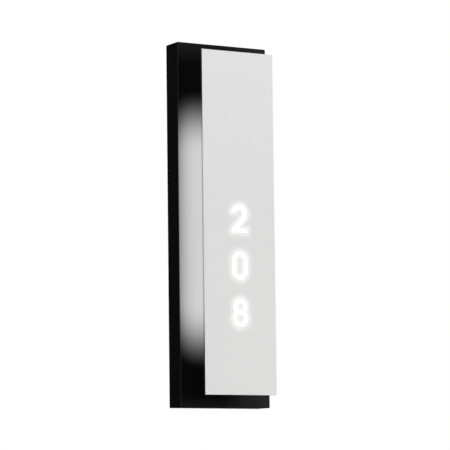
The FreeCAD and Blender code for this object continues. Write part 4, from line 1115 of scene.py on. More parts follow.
def measure_outline(piece: Piece, tree: KDTree, low: Vector, high: Vector, field_mm: float) -> None:
    """Divides a flat piece into small fields and keeps each corner's distance to the outlines.

    Args:
        piece: The piece, whose front faces look out of the wall.
        tree: Points on the outlines.
        low: The lowest corner of the part that is divided.
        high: Its highest corner.
        field_mm: The size of a field.
    """
    cuts = []
    for axis, normal in ((0, RIGHT), (2, UP)):
        count = math.ceil((high[axis] - low[axis]) / (field_mm * MM))
        for step in range(count + 1):
            cuts.append((normal * (low[axis] + (high[axis] - low[axis]) * step / count), normal))
    with Shaping(piece):
        bpy.ops.mesh.select_all(action="SELECT")
        bpy.ops.mesh.quads_convert_to_tris()
        for place, normal in cuts:
            bpy.ops.mesh.select_all(action="SELECT")
            bpy.ops.mesh.bisect(plane_co=place, plane_no=normal)
    mark = piece.data.attributes.new(OUTLINE, "FLOAT", "POINT")
    for vertex in piece.data.vertices:
        mark.data[vertex.index].value = tree.find((vertex.co.x, 0.0, vertex.co.z))[2]


def carve(piece: Piece, tool: Piece, operation: str = "DIFFERENCE") -> Piece:
    """Cuts a tool out of a piece, or joins it on, and removes the tool.

    Args:
        piece: The piece that is worked on.
        tool: The other mesh.
        operation: Blender's name for what is done: DIFFERENCE, UNION or INTERSECT.

    Returns:
        The piece.
    """
    select_only(piece)
    bpy.ops.object.modifier_add(type="BOOLEAN")
    boolean = piece.modifiers[-1]
    boolean.operation = operation
    boolean.object = tool
    boolean.solver = "EXACT"
    bpy.ops.object.modifier_apply(modifier=boolean.name)
    bpy.data.objects.remove(tool, do_unlink=True)
    with Shaping(piece) as shaping:
        shaping.close_normals()
    return piece


def cut_block(piece: Piece, low: Point, high: Point) -> None:
    """Cuts a block between two corners out of a piece."""
    carve(piece, block("cutter", low, high))


def sink_hexagon(screw: Piece, place: Vector, size_mm: tuple[float, float], turn: float = 0.0) -> Piece:
    """Sinks a hexagonal recess into the end of a screw.

    Args:
        screw: The screw.
        place: The middle of the recess's mouth.
        size_mm: Its width across two flats and its depth.
        turn: How far its axis is turned away from Z, round X.

    Returns:
        The screw, shaded.
    """
    width, depth = metres(size_mm)
    bpy.ops.mesh.primitive_cylinder_add(
        vertices=6, radius=width / math.sqrt(3), depth=2 * depth, location=place, rotation=(turn, 0.0, 0.0),
    )
    return shade(carve(screw, settle(bpy.context.active_object)))


def soften(profile: Profile, radius: float, closed: bool = False) -> Profile:
    """Rounds the corners of a profile before it is turned.

    Args:
        profile: Pairs of radius and height.
        radius: How far before and after a corner the rounding starts.
        closed: Whether the last pair joins the first.

    Returns:
        The rounded profile.
    """
    points = [Vector(point) for point in profile]
    rounded: Profile = []
    for index, corner in enumerate(points):
        if not closed and index in (0, len(points) - 1):
            rounded.append(tuple(corner))
            continue
        before = points[index - 1] - corner
        after = points[(index + 1) % len(points)] - corner
        first = corner + before.normalized() * min(radius, CORNER_SHARE * before.length)
        last = corner + after.normalized() * min(radius, CORNER_SHARE * after.length)
        for share in (0.0, 1 / 3, 2 / 3, 1.0):
            point = first * (1 - share) ** 2 + corner * 2 * share * (1 - share) + last * share ** 2
            rounded.append(tuple(point))
    return rounded


def scaled(shares: Shares, radius: float, height: float) -> Profile:
    """Scales a profile that is given in shares of a radius and of a height."""
    return [(across * radius, along * height) for across, along in shares]


def turned(
    name: str, foot: Vector, along: Vector, profile: Profile, closed: bool = False, facets: int = TURN_FACETS
) -> Piece:
    """Turns a profile round an axis, as on a lathe.

    Args:
        name: The piece's name.
        foot: The point on the axis from which heights are measured.
        along: The way the heights grow.
        profile: Pairs of radius and height from one end to the other.
        closed: Joins the last pair to the first, for a sleeve.
        facets: How many facets go round.

    Returns:
        The turned piece, shaded.
    """
    across = along.orthogonal().normalized()
    points = [foot + across * radius + along * height for radius, height in profile]
    select_only()
    bpy.ops.mesh.primitive_plane_add(size=MM, location=points[0])
    piece = settle(bpy.context.active_object)
    piece.name = name
    with Shaping(piece) as shaping:
        bpy.ops.mesh.select_mode(type="VERT")
        bpy.ops.mesh.select_all(action="SELECT")
        bpy.ops.mesh.merge(type="CENTER")
        for start, end in zip(points, points[1:]):
            bpy.ops.mesh.extrude_vertices_move(TRANSFORM_OT_translate={"value": end - start})
        if closed:
            mesh = bmesh.from_edit_mesh(piece.data)
            mesh.verts.ensure_lookup_table()
            mesh.verts[0].select_set(True)
            bmesh.update_edit_mesh(piece.data)
            bpy.ops.mesh.edge_face_add()
        bpy.ops.mesh.select_all(action="SELECT")
        bpy.ops.mesh.spin(steps=facets, angle=math.tau, center=foot, axis=along)
        shaping.close_normals()
    return shade(piece)


def copied(piece: Piece, name: str, offset: Vector) -> Piece:
    """Copies a piece with its own mesh and moves the copy.

    Args:
        piece: The piece.
        name: The copy's name.
        offset: How far it moves.

    Returns:
        The copy.
    """
    select_only(piece)
    bpy.ops.object.duplicate()
    other = bpy.context.active_object
    other.name = name
    bpy.ops.transform.translate(value=offset)
    return settle(other)


def lead(name: str, route: list[Vector], radius: float) -> Piece:
    """Makes a round lead that lies along a smooth line.

    Args:
        name: The piece's name.
        route: The points that the line follows.
        radius: The lead's radius.

    Returns:
        The lead as a mesh.
    """
    curve = bpy.data.curves.new(name, "CURVE")
    curve.dimensions = "3D"
    curve.bevel_depth = radius
    curve.bevel_resolution = LEAD_FACETS
    curve.resolution_u = LEAD_STEPS
    curve.use_fill_caps = True
    line = curve.splines.new("NURBS")
    line.points.add(len(route) - 1)
    for point, place in zip(line.points, route):
        point.co = (*place, 1.0)
    line.order_u = LEAD_ORDER
    line.use_endpoint_u = True
    piece = bpy.data.objects.new(name, curve)
    bpy.context.scene.collection.objects.link(piece)
    select_only(piece)
    bpy.ops.object.convert(target="MESH")
    with Shaping(piece) as shaping:
        shaping.close_normals()
    return shade(piece)


# Fitting pieces to the frame

def slot_of(node: str) -> str:
    """Returns the material slot that the record gives a node."""
    return next(part["material_slot"] for part in frame["record"]["subparts"] if part["node"] == node)


def body_of(node: str) -> str:
    """Returns the body that a node moves with."""
    return frame["nodes"][node]["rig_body"]


def back_of(node: str) -> Vector:
    """Returns the middle of a node's back, the side towards the wall."""
    low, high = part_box(node)
    return Vector(((low.x + high.x) / 2, high.y, (low.z + high.z) / 2))


def paint(piece: Piece, finish: Finish) -> None:
    """Gives a piece one finish all over.

    Args:
        piece: The piece.
        finish: Its finish.
    """
    if not piece.material_slots:
        piece.data.materials.append(None)
    for place in piece.material_slots:
        place.material = finish.material()


def dress(node: str) -> None:
    """Gives a CAD node that stays the finish of its slot."""
    paint(frame["nodes"][node], FINISHES[slot_of(node)])
    log.info("%s keeps its mesh, finish %s", node, FINISHES[slot_of(node)].name)


def install(piece: Piece, node: str, stands_for_node: bool = True, slot: str = "") -> None:
    """Gives a piece its finish and the body that a node moves with.

    Args:
        piece: The finished piece.
        node: The node that it stands for or sits on.
        stands_for_node: Whether the node is hidden in its favour.
        slot: The record's slot for its finish, if it isn't the node's own.
    """
    slot = slot or slot_of(node)
    piece.data.materials.clear()
    paint(piece, FINISHES[slot])
    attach(piece, body_of(node))
    if stands_for_node:
        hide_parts(node)
    log.info("%s: %d faces, %s, on %s", piece.name, len(piece.data.polygons), slot, body_of(node))


def install_rounded(node: str, width_mm: float, segments: int = 2) -> None:
    """Replaces a node by a copy of itself with softened edges."""
    install(round_edges(copy_of_node(node, f"{node}_finished"), width_mm, segments), node)


def install_row(
    first: Piece, name: str, places: list[Vector], node: str, stands_for_node: bool = True
) -> None:
    """Copies a piece that stands at the first of some places to the others, and installs them all.

    Args:
        first: The piece.
        name: The start of the copies' names.
        places: Where the piece and its copies stand.
        node: The node that they stand for or sit on.
        stands_for_node: Whether the node is hidden in their favour.
    """
    row = [first]
    for index, place in enumerate(places[1:], start=2):
        row.append(copied(first, f"{name}_{index}", place - places[0]))
    for piece in row:
        install(piece, node, stands_for_node)


def places_in(node: str, radius: float, depth: float) -> list[Vector]:
    """Finds where a node's round pieces stand, from its box.

    Args:
        node: A node of one, two or four equal round pieces along Y.
        radius: The radius of each.
        depth: The Y at which they are placed.

    Returns:
        The places.
    """
    low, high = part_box(node)
    lines: list[list[float]] = []
    for axis in (0, 2):
        first, last = low[axis] + radius, high[axis] - radius
        lines.append([first, last] if last - first > radius else [(first + last) / 2])
    return [Vector((x, depth, z)) for x in lines[0] for z in lines[1]]


@dataclass(frozen=True)
class Thread:
    """A rolled thread, drawn as rings a pitch apart; its shares are of the radius or the pitch."""

    radius: float
    pitch: float
    depth_share: float = 0.14
    tip_share: float = 0.85
    flank_share: float = 0.25
    first_share: float = 0.75
    run_out_share: float = 0.02

    def profile(self, start: float, end: float) -> Profile:
        """Draws the thread's outline between two heights, from start to end.

        Args:
            start: The height of the tip.
            end: The height where the thread runs out.

        Returns:
            Pairs of radius and height, from the axis at the tip to the run-out.
        """
        root = self.radius * (1 - self.depth_share)
        step = self.pitch if end > start else -self.pitch
        flank = self.flank_share * step
        outline = [(0.0, start), (root * self.tip_share, start)]
        for ring in range(int(abs(end - start) / self.pitch - self.first_share)):
            height = start + step * (ring + self.first_share)
            outline += [(root, height - flank), (self.radius, height), (root, height + flank)]
        return [*outline, (self.radius, end - self.run_out_share * step), (self.radius, end)]


@dataclass(frozen=True)
class ScrewSet:
    """Equal screws of one node: a head with a hexagonal recess, domed as dome's shares say, on a thread."""

    node: str
    head_mm: tuple[float, float] = (2.75, 2.2)
    shank_radius_mm: float = 1.5
    pitch_mm: float = 0.5
    recess_mm: tuple[float, float] = (2.0, 1.1)
    dome: Shares = ((1.0, 0.0), (1.0, 0.45), (0.93, 0.72), (0.78, 0.9), (0.6, 1.0), (0.0, 1.0))
    outward: bool = True

    def make(self) -> None:
        """Models one screw and copies it to each place."""
        low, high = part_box(self.node)
        radius, height = metres(self.head_mm)
        along = OUT if self.outward else IN
        front, tip = (low.y, high.y) if self.outward else (high.y, low.y)
        places = places_in(self.node, radius, front)
        seat = places[0] - along * height
        thread = Thread(self.shank_radius_mm * MM, self.pitch_mm * MM)
        outline = thread.profile(-abs(tip - seat.y), 0.0) + scaled(self.dome, radius, height)
        screw = turned(f"{self.node}_finished_1", seat, along, outline)
        sink_hexagon(screw, places[0], self.recess_mm, math.pi / 2)
        install_row(screw, f"{self.node}_finished", places, self.node)


@dataclass
class SubAssembly:
    """A group of pieces that is built and dressed together.

    softened has the nodes that need rounded edges and no more: each with the rounding's width in millimetres,
    and its number of facets where that isn't two. kept has the nodes whose mesh stays as it is.
    """

    softened: tuple[tuple, ...] = ()
    kept: tuple[str, ...] = ()
    screws: tuple[ScrewSet, ...] = ()

    def build(self) -> None:
        """Makes every piece of the group."""
        for entry in self.softened:
            install_rounded(*entry)
        for node in self.kept:
            dress(node)
        for step in [*self.steps(), *[screw_set.make for screw_set in self.screws]]:
            step()

    def steps(self) -> list[Step]:
        """Lists the methods that make the group's other pieces, in order."""
        return []


@dataclass
class WallTray(SubAssembly):
    """The folded tray on the wall, its catches and the rubber bush in its cable entry."""

    softened: tuple[tuple, ...] = (("wall_tray", 0.3), ("tray_flanges", 0.3), ("tray_catches", 0.3))
    wall_mm: float = 1.5
    bush_mm: tuple[float, float, float, float] = (7.0, 10.0, 8.5, 1.6)
    bush_edge_mm: float = 0.45
    catch_wall_mm: float = 1.5
    weld_inset_mm: tuple[float, float] = (3.5, 2.6)
    weld_mm: tuple[float, float] = (1.6, 0.25)
    weld_form: Shares = ((0.0, 0.0), (1.0, 0.0), (0.85, 0.7), (0.4, 1.0), (0.0, 1.0))
    weld_facets: int = 20

    def steps(self) -> list[Step]:
        """Lists the tray's own steps."""
        return [self.bush, self.weld_spots]

    def bush(self) -> None:
        """Moulds the bush: a sleeve through the tray, a flange and a collar that narrows to a soft lip."""
        low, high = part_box("cable_grommet")
        flange = (high.x - low.x) / 2
        depth = high.y - low.y
        bore, sleeve, lip, thickness = metres(self.bush_mm)
        tray = self.wall_mm * MM
        seat = tray + thickness
        outline = [
            (bore, 0.0), (sleeve, 0.0), (sleeve, tray), (flange, tray), (flange, seat), (sleeve, seat),
            (lip, depth), (bore, depth),
        ]
        rounded = soften(outline, self.bush_edge_mm * MM, closed=True)
        install(turned("cable_bush", back_of("cable_grommet"), OUT, rounded, closed=True), "cable_grommet")

    def weld_spots(self) -> None:
        """Adds the flat spots where the catches' feet are welded to the tray."""
        low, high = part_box("tray_catches")
        foot_front = -(self.wall_mm + self.catch_wall_mm) * MM
        inset_x, inset_z = metres(self.weld_inset_mm)
        radius, height = metres(self.weld_mm)
        places = [
            Vector((x, foot_front, z))
            for x in (low.x + inset_x, high.x - inset_x) for z in (low.z + inset_z, high.z - inset_z)
        ]
        outline = scaled(self.weld_form, radius, height)
        spot = turned("weld_spot_1", places[0], OUT, outline, facets=self.weld_facets)
        install_row(spot, "weld_spot", places, "tray_catches", stands_for_node=False)


@dataclass(frozen=True)
class ClampLever:
    """A clamping lever with a ribbed thumb rest."""

    node: str
    edge_mm: float = 0.25
    rib_count: int = 4
    rib_pitch_mm: float = 1.3
    rib_width_mm: float = 0.6
    rib_height_mm: float = 0.3
    rib_root_mm: float = 0.5
    rib_edge_mm: float = 0.12
    rib_inset_mm: float = 0.8
    first_rib_mm: float = 2.8
    tab_mm: float = 1.2

    def make(self) -> None:
        """Rounds the lever and joins its ribs on."""
        piece = round_edges(copy_of_node(self.node, f"{self.node}_finished"), self.edge_mm)
        low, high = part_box(self.node)
        front = low.y + self.tab_mm * MM
        inset = self.rib_inset_mm * MM
        for index in range(self.rib_count):
            bottom = low.z + (self.first_rib_mm + index * self.rib_pitch_mm) * MM
            rib = block(
                "rib", (low.x + inset, front - self.rib_height_mm * MM, bottom),
                (high.x - inset, front + self.rib_root_mm * MM, bottom + self.rib_width_mm * MM),
            )
            carve(piece, round_edges(rib, self.rib_edge_mm), "UNION")
        install(shade(piece), self.node)


@dataclass
class TerminalBlock(SubAssembly):
    """The terminal block: a moulded body with grooves between its poles and a funnel at each wire entry."""

    softened: tuple[tuple, ...] = (("lever_pin", 0.15),)
    kept: tuple[str, ...] = ("terminal_contacts",)
    screws: tuple[ScrewSet, ...] = (ScrewSet("terminal_screws"),)
    levers: tuple[str, ...] = ("lever_live", "lever_neutral", "lever_earth")
    edge_mm: float = 0.35
    pole_pitch_mm: float = 10.0
    groove_mm: tuple[float, float] = (0.8, 0.6)
    wire_radius_mm: float = 1.75
    wire_depth_mm: float = 3.8
    funnel_mm: tuple[float, float] = (2.5, 1.0)
    funnel_facets: int = 24

    def steps(self) -> list[Step]:
        """Lists the block's steps, and its levers'."""
        return [self.body, *[ClampLever(node).make for node in self.levers]]

    def body(self) -> None:
        """Moulds the body."""
        piece = round_edges(copy_of_node("terminal_block", "terminal_body"), self.edge_mm)
        low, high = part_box("terminal_block")
        width, depth = metres(self.groove_mm)
        for side in (-1, 1):
            middle = side * self.pole_pitch_mm * MM / 2
            cut_block(
                piece, (middle - width / 2, low.y - MM, low.z - MM),
                (middle + width / 2, low.y + depth, high.z + MM),
            )
        reach, sink = metres(self.funnel_mm)
        wire = self.wire_radius_mm * MM
        outline = [(0.0, -sink), (wire, -sink), (reach, 0.0), (reach, sink), (0.0, sink)]
        for pole in (-1, 0, 1):
            foot = Vector((pole * self.pole_pitch_mm * MM, -self.wire_depth_mm * MM, high.z))
            carve(piece, turned("funnel", foot, UP, outline, facets=self.funnel_facets))
        install(shade(piece), "terminal_block")


@dataclass
class EarthPoint(SubAssembly):
    """The earth stud with its nut and the crimped tag of the earth lead."""

    softened: tuple[tuple, ...] = (("earth_nut", 0.3),)
    tag_edge_mm: float = 0.12
    pitch_mm: float = 0.7
    crimps_mm: tuple[float, float] = (1.2, 2.8)
    crimp_mm: tuple[float, float, float] = (0.8, 0.45, 6.0)

    def steps(self) -> list[Step]:
        """Lists the steps of the earth point."""
        return [self.stud, self.tag]

    def stud(self) -> None:
        """Turns the threaded stud."""
        low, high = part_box("earth_stud")
        outline = Thread((high.x - low.x) / 2, self.pitch_mm * MM).profile(high.y - low.y, 0.0)
        foot = back_of("earth_stud")
        install(turned("threaded_earth_stud", foot, OUT, [*outline, (0.0, 0.0)]), "earth_stud")

    def tag(self) -> None:
        """Presses the crimps into the tag's barrel."""
        piece = round_edges(copy_of_node("earth_tag", "crimped_earth_tag"), self.tag_edge_mm)
        low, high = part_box("earth_tag")
        middle = (low.z + high.z) / 2
        width, depth, length = metres(self.crimp_mm)
        for place_mm in self.crimps_mm:
            x = low.x + place_mm * MM
            cut_block(
                piece, (x - width / 2, low.y - MM, middle - length / 2),
                (x + width / 2, low.y + depth, middle + length / 2),
            )
        install(shade(piece), "earth_tag")


@dataclass
class Driver(SubAssembly):
    """The driver: a moulded box with a ribbed lid and a blank label, and the parts on its board."""

    softened: tuple[tuple, ...] = (("driver_housing", 0.6),)
    kept: tuple[str, ...] = ("driver_board",)
    screws: tuple[ScrewSet, ...] = (ScrewSet("driver_screws"),)
    lid_edge_mm: float = 0.7
    lid_edge_facets: int = 3
    panel_margin_mm: float = 3.0
    panel_sink_mm: float = 0.35
    rib_count: int = 7
    rib_pitch_mm: float = 3.0
    rib_width_mm: float = 1.4
    rib_slope_mm: float = 0.3
    rib_rise_share: float = 0.8
    first_rib_mm: float = 5.0
    label_mm: tuple[float, float, float] = (34.0, 52.0, 0.2)
    label_corner_mm: float = 2.0
    label_corner_facets: int = 5
    core_edge_mm: float = 0.3
    core_flange_mm: float = 1.5
    core_waist_mm: float = 3.0
    winding_inset_mm: tuple[float, float, float] = (2.0, 1.8, 0.3)
    winding_gap_mm: float = 0.1
    winding_edge_mm: float = 0.8
    can_groove_mm: float = 0.45
    can_neck_mm: tuple[float, float, float, float, float] = (0.6, 1.6, 2.0, 2.4, 2.8)
    can_cap_mm: tuple[float, float, float, float] = (0.5, 1.2, 1.3, 0.3)

    def steps(self) -> list[Step]:
        """Lists the driver's steps."""
        return [self.lid, self.label, self.transformer, self.capacitors]

    def lid(self) -> None:
        """Moulds the lid with a sunk panel and cooling ribs at its upper end."""
        low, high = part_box("driver_lid")
        piece = block("moulded_driver_lid", low, high)
        sink = self.panel_sink_mm * MM
        rib_top = high.z - self.first_rib_mm * MM
        heights = [
            rib_top - (index * self.rib_pitch_mm + side * self.rib_width_mm) * MM
            for index in range(self.rib_count) for side in (0, 1)
        ]

        def on_panel(face: Face) -> bool:
            """Tells whether a face lies on the sunk panel."""
            return face.normal.y < -FACING and face.calc_center_median().y > low.y + sink / 2

        def on_rib(face: Face) -> bool:
            """Tells whether a face lies between a rib's two lines."""
            above = [height for height in heights if height > face.calc_center_median().z]
            return on_panel(face) and len(above) % 2 == 1

        def on_front_rim(edge: Edge) -> bool:
            """Tells whether an edge runs along the lid's outer rim, at its front.

            Args:
                edge: The edge.

            Returns:
                Whether it does.
            """
            one, two = (vertex.co for vertex in edge.verts)
            on_front = max(one.y, two.y) < low.y + MERGE_DISTANCE
            on_side = min(abs(one.x), abs(two.x)) > high.x - MERGE_DISTANCE
            level = abs(one.z - two.z) < MERGE_DISTANCE
            on_end = level and min(abs(one.z - low.z), abs(one.z - high.z)) < MERGE_DISTANCE
            return on_front and (on_side or on_end)

        with Shaping(piece) as shaping:
            shaping.pick("FACE", lambda face: face.normal.y < -FACING)
            bpy.ops.mesh.inset(thickness=self.panel_margin_mm * MM, depth=-sink)
            for height in heights:
                shaping.pick("FACE", on_panel)
                bpy.ops.mesh.bisect(plane_co=(0.0, 0.0, height), plane_no=UP)
            shaping.pick("FACE", on_rib)
            bpy.ops.mesh.inset(
                thickness=self.rib_slope_mm * MM, depth=self.rib_rise_share * sink, use_individual=True,
            )
        with Shaping(piece) as shaping:
            shaping.pick("EDGE", on_front_rim)
            bpy.ops.mesh.bevel(
                offset=self.lid_edge_mm * MM, segments=self.lid_edge_facets, affect="EDGES",
                clamp_overlap=False,
            )
        install(shade(piece), "driver_lid")

    def label(self) -> None:
        """Lays a blank label in the lid's panel."""
        low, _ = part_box("driver_lid")
        width, height, thickness = metres(self.label_mm)
        back = low.y + self.panel_sink_mm * MM
        bottom = low.z + 2 * self.panel_margin_mm * MM
        piece = block(
            "blank_driver_label", (-width / 2, back - thickness, bottom), (width / 2, back, bottom + height),
        )
        with Shaping(piece) as shaping:
            shaping.pick("EDGE", lambda edge: abs(edge.verts[0].co.y - edge.verts[1].co.y) > MERGE_DISTANCE)
            bpy.ops.mesh.bevel(
                offset=self.label_corner_mm * MM, segments=self.label_corner_facets, affect="EDGES",
            )
        install(shade(piece), "driver_lid", stands_for_node=False, slot="raw_aluminium")

    def transformer(self) -> None:
        """Makes the transformer: a ferrite core round a taped winding."""
        low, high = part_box("driver_transformer")
        core = block("ferrite_core", low, high)
        waist = self.core_waist_mm * MM
        gap = self.winding_gap_mm * MM
        with Shaping(core) as shaping:
            shaping.pick("FACE", lambda face: abs(face.normal.z) > FACING)
            bpy.ops.mesh.inset(thickness=self.core_flange_mm * MM, depth=-waist, use_individual=True)
        install(round_edges(core, self.core_edge_mm), "driver_transformer")
        inset = Vector(self.winding_inset_mm) * MM
        winding = round_edges(block(
            "taped_winding_lower", low + inset, (high.x - inset.x, high.y - inset.y, low.z + waist - gap),
        ), self.winding_edge_mm, 3)
        rise = UP * (high.z - low.z - waist - inset.z + gap)
        for end in (winding, copied(winding, "taped_winding_upper", rise)):
            install(end, "driver_transformer", stands_for_node=False, slot="brass_contact")

    def capacitors(self) -> None:
        """Turns the two capacitor cans with their crimped necks and sunk caps."""
        low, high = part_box("driver_capacitors")
        radius = (high.y - low.y) / 2
        length = high.z - low.z
        waist = radius - self.can_groove_mm * MM
        foot_end, neck_start, neck_in, neck_out, neck_end = metres(self.can_neck_mm)
        rim, rim_width, cap_width, cap_sink = metres(self.can_cap_mm)
        outline = [
            (0.0, 0.0), (waist, 0.0), (radius, foot_end), (radius, neck_start), (waist, neck_in),
            (waist, neck_out), (radius, neck_end), (radius, length - rim), (waist, length),
            (radius - rim_width, length), (radius - cap_width, length - cap_sink), (0.0, length - cap_sink),
        ]
        for index, x in enumerate((low.x + radius, high.x - radius), start=1):
            foot = Vector((x, (low.y + high.y) / 2, low.z))
            install(turned(f"capacitor_can_{index}", foot, UP, outline), "driver_capacitors")


@dataclass
class Wiring(SubAssembly):
    """The leads, the clips that hold them and the bush where they enter the light box."""

    clip_edge_mm: float = 0.4
    clip_length_mm: float = 6.0
    clip_slot_mm: float = 0.7
    clip_slot_depth_mm: float = 0.5
    led_lead_spacing_mm: float = 3.2
    low_lead_spacing_mm: float = 8.0
    low_lead_radius_mm: float = 0.9
    mains_lead_radius_mm: float = 1.3
    supply_bend_share: float = 1 / 3
    low_lead_shares: tuple[float, float, float, float] = (0.0, 0.3, 0.7, 1.0)
    earth_bends: Shares = ((0.0, 1 / 2), (1 / 6, 5 / 6), (1 / 2, 1.0))
    led_bend_shares: tuple[float, float] = (1 / 5, 1 / 3)
    led_lead_depths_mm: tuple[float, float, float] = (20.0, 13.0, 41.7)
    bush_mm: tuple[float, float, float, float] = (3.0, 4.5, 6.0, 1.5)
    bush_edge_mm: float = 0.4

    def steps(self) -> list[Step]:
        """Lists the steps of the wiring."""
        leads = [self.supply_leads, self.earth_lead, self.low_voltage_leads, self.led_leads]
        return [*leads, self.clips, self.bush]

    def supply_leads(self) -> None:
        """Lays live and neutral from the terminals to the driver, in a soft double bend."""
        for node in ("live_lead", "neutral_lead"):
            low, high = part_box(node)
            radius = (high.x - low.x) / 2
            x = (low.x + high.x) / 2
            near, far = high.y - radius, low.y + radius
            drop = (high.z - low.z) * self.supply_bend_share
            route = [
                Vector((x, near, high.z)), Vector((x, near, high.z - drop)),
                Vector((x, far, low.z + drop)), Vector((x, far, low.z)),
            ]
            install(lead(f"{node}_sleeve", route, radius), node)

    def earth_lead(self) -> None:
        """Lays the earth lead from its terminal down and across to its tag."""
        low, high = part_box("earth_lead")
        radius = self.mains_lead_radius_mm * MM
        start = Vector((low.x + radius, low.y + radius, high.z))
        end = Vector((high.x, high.y - radius, low.z + radius))
        bends = [
            Vector((start.x + (end.x - start.x) * across, depth, start.z + (end.z - start.z) * down))
            for (across, down), depth in zip(self.earth_bends, (start.y, start.y, end.y))
        ]
        install(lead("earth_lead_sleeve", [start, *bends, end], radius), "earth_lead")

    def low_voltage_leads(self) -> None:
        """Lays the two leads from the driver to the socket."""
        low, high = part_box("low_voltage_leads")
        half = self.low_lead_spacing_mm * MM / 2
        places = [Vector((x, (low.y + high.y) / 2, low.z)) for x in (-half, half)]
        route = [places[0] + UP * (high.z - low.z) * share for share in self.low_lead_shares]
        first = lead("low_voltage_lead_1", route, self.low_lead_radius_mm * MM)
        install_row(first, "low_voltage_lead", places, "low_voltage_leads")

    def led_leads(self) -> None:
        """Lays the two leads from the plug, through the bush, to the front LED board."""
        low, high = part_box("led_leads")
        radius = self.low_lead_radius_mm * MM
        plug_depth, low_depth, board_depth = metres(self.led_lead_depths_mm)
        bush_low, bush_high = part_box("lead_grommet")
        entry = (bush_low.z + bush_high.z) / 2
        bend = low.z + 2 * self.clip_length_mm * MM + 4 * radius
        foot_rise, entry_rise = [(entry - bend) * share for share in self.led_bend_shares]
        places = [Vector((side * self.led_lead_spacing_mm * MM / 2, 0.0, 0.0)) for side in (-1, 1)]
        route = [
            places[0] + Vector((0.0, depth, height)) for depth, height in (
                (-plug_depth, low.z), (-plug_depth, bend + foot_rise), (-low_depth, entry - entry_rise),
                (radius - low_depth, entry), (-board_depth, entry), (-board_depth, high.z),
            )
        ]
        install_row(lead("led_lead_1", route, radius), "led_lead", places, "led_leads")

    def clips(self) -> None:
        """Rounds the two moulded clips and cuts the snap slots over their leads."""
        slot = self.clip_slot_mm * MM / 2
        depth = self.clip_slot_depth_mm * MM
        for node, front_is_low in (("tray_lead_clip", True), ("case_lead_clip", False)):
            piece = round_edges(copy_of_node(node, f"snap_{node}"), self.clip_edge_mm)
            low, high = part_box(node)
            face = low.y if front_is_low else high.y
            for side in (-1, 1):
                x = (low.x + high.x) / 2 + side * (high.x - low.x) / 4
                cut_block(piece, (x - slot, face - depth, low.z - MM), (x + slot, face + depth, high.z + MM))
            install(shade(piece), node)

    def bush(self) -> None:
        """Moulds the soft bush where the leads pass into the light box."""
        low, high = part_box("lead_grommet")
        bore, sleeve, flange, lip = metres(self.bush_mm)
        depth = high.y - low.y
        outline = [
            (bore, 0.0), (flange, 0.0), (flange, lip), (sleeve, lip), (sleeve, depth - lip),
            (flange, depth - lip), (flange, depth), (bore, depth),
        ]
        rounded = soften(outline, self.bush_edge_mm * MM, closed=True)
        install(turned("lead_bush", back_of("lead_grommet"), OUT, rounded, closed=True), "lead_grommet")


@dataclass
class PlugConnection(SubAssembly):
    """The socket on the tray and the plug on the case."""

    softened: tuple[tuple, ...] = (("socket_block", 0.4), ("plug_block", 0.4))
    kept: tuple[str, ...] = ("socket_contacts",)
    screws: tuple[ScrewSet, ...] = (ScrewSet("socket_screws"), ScrewSet("plug_screws", outward=False))
    pin_tip_mm: float = 0.5
    pin_taper: tuple[float, float, float] = (0.55, 0.9, 0.5)
    pin_facets: int = 20

    def steps(self) -> list[Step]:
        """Lists the plug's only other step."""
        return [self.pins]

    def pins(self) -> None:
        """Turns the plug's pins with bullet tips."""
        low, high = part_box("plug_pins")
        radius = (high.z - low.z) / 2
        length = high.y - low.y
        tip = self.pin_tip_mm * MM
        end, shoulder, fall = self.pin_taper
        outline = [
            (0.0, length), (end * radius, length), (shoulder * radius, length - fall * tip),
            (radius, length - tip), (radius, 0.0), (0.0, 0.0),
        ]
        places = places_in("plug_pins", radius, low.y)
        pin = turned("plug_pin_1", places[0], IN, outline, facets=self.pin_facets)
        install_row(pin, "plug_pin", places, "plug_pins")


@dataclass
class CaseShell(SubAssembly):
    """The folded black case with its weld nuts and the grub screws that hold it."""

    softened: tuple[tuple, ...] = (("case", 0.2), ("weld_nuts", 0.3))
    grub_length_mm: float = 9.7
    grub_socket_mm: tuple[float, float] = (2.0, 2.5)
    grub_pitch_mm: float = 0.7

    def steps(self) -> list[Step]:
        """Lists the case's only other step."""
        return [self.grub_screws]

    def grub_screws(self) -> None:
        """Turns a threaded grub screw for the top and for the bottom."""
        low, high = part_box("retaining_screws")
        length = self.grub_length_mm * MM
        outline = Thread((high.x - low.x) / 2, self.grub_pitch_mm * MM).profile(0.0, length)
        for name, end, along in (("top", high.z, UP), ("bottom", low.z, -UP)):
            foot = Vector(((low.x + high.x) / 2, (low.y + high.y) / 2, end)) - along * length
            screw = turned(f"{name}_grub_screw", foot, along, [*outline, (0.0, length)])
            install(sink_hexagon(screw, foot + along * length, self.grub_socket_mm), "retaining_screws")


@dataclass
class LightBox(SubAssembly):
    """The white channel, the LED carrier with its boards and the opal cover with its end caps."""

    softened: tuple[tuple, ...] = (
        ("light_box_base", 0.25), ("led_carrier", 0.25), ("light_box_nuts", 0.25), ("front_led_chips", 0.15),
        ("side_led_chips", 0.15), ("diffuser", 0.4), ("end_caps", 0.5, 3),
    )
    kept: tuple[str, ...] = ("front_led_board", "left_led_board", "right_led_board", "board_links")
    screws: tuple[ScrewSet, ...] = (ScrewSet("light_box_screws"),)


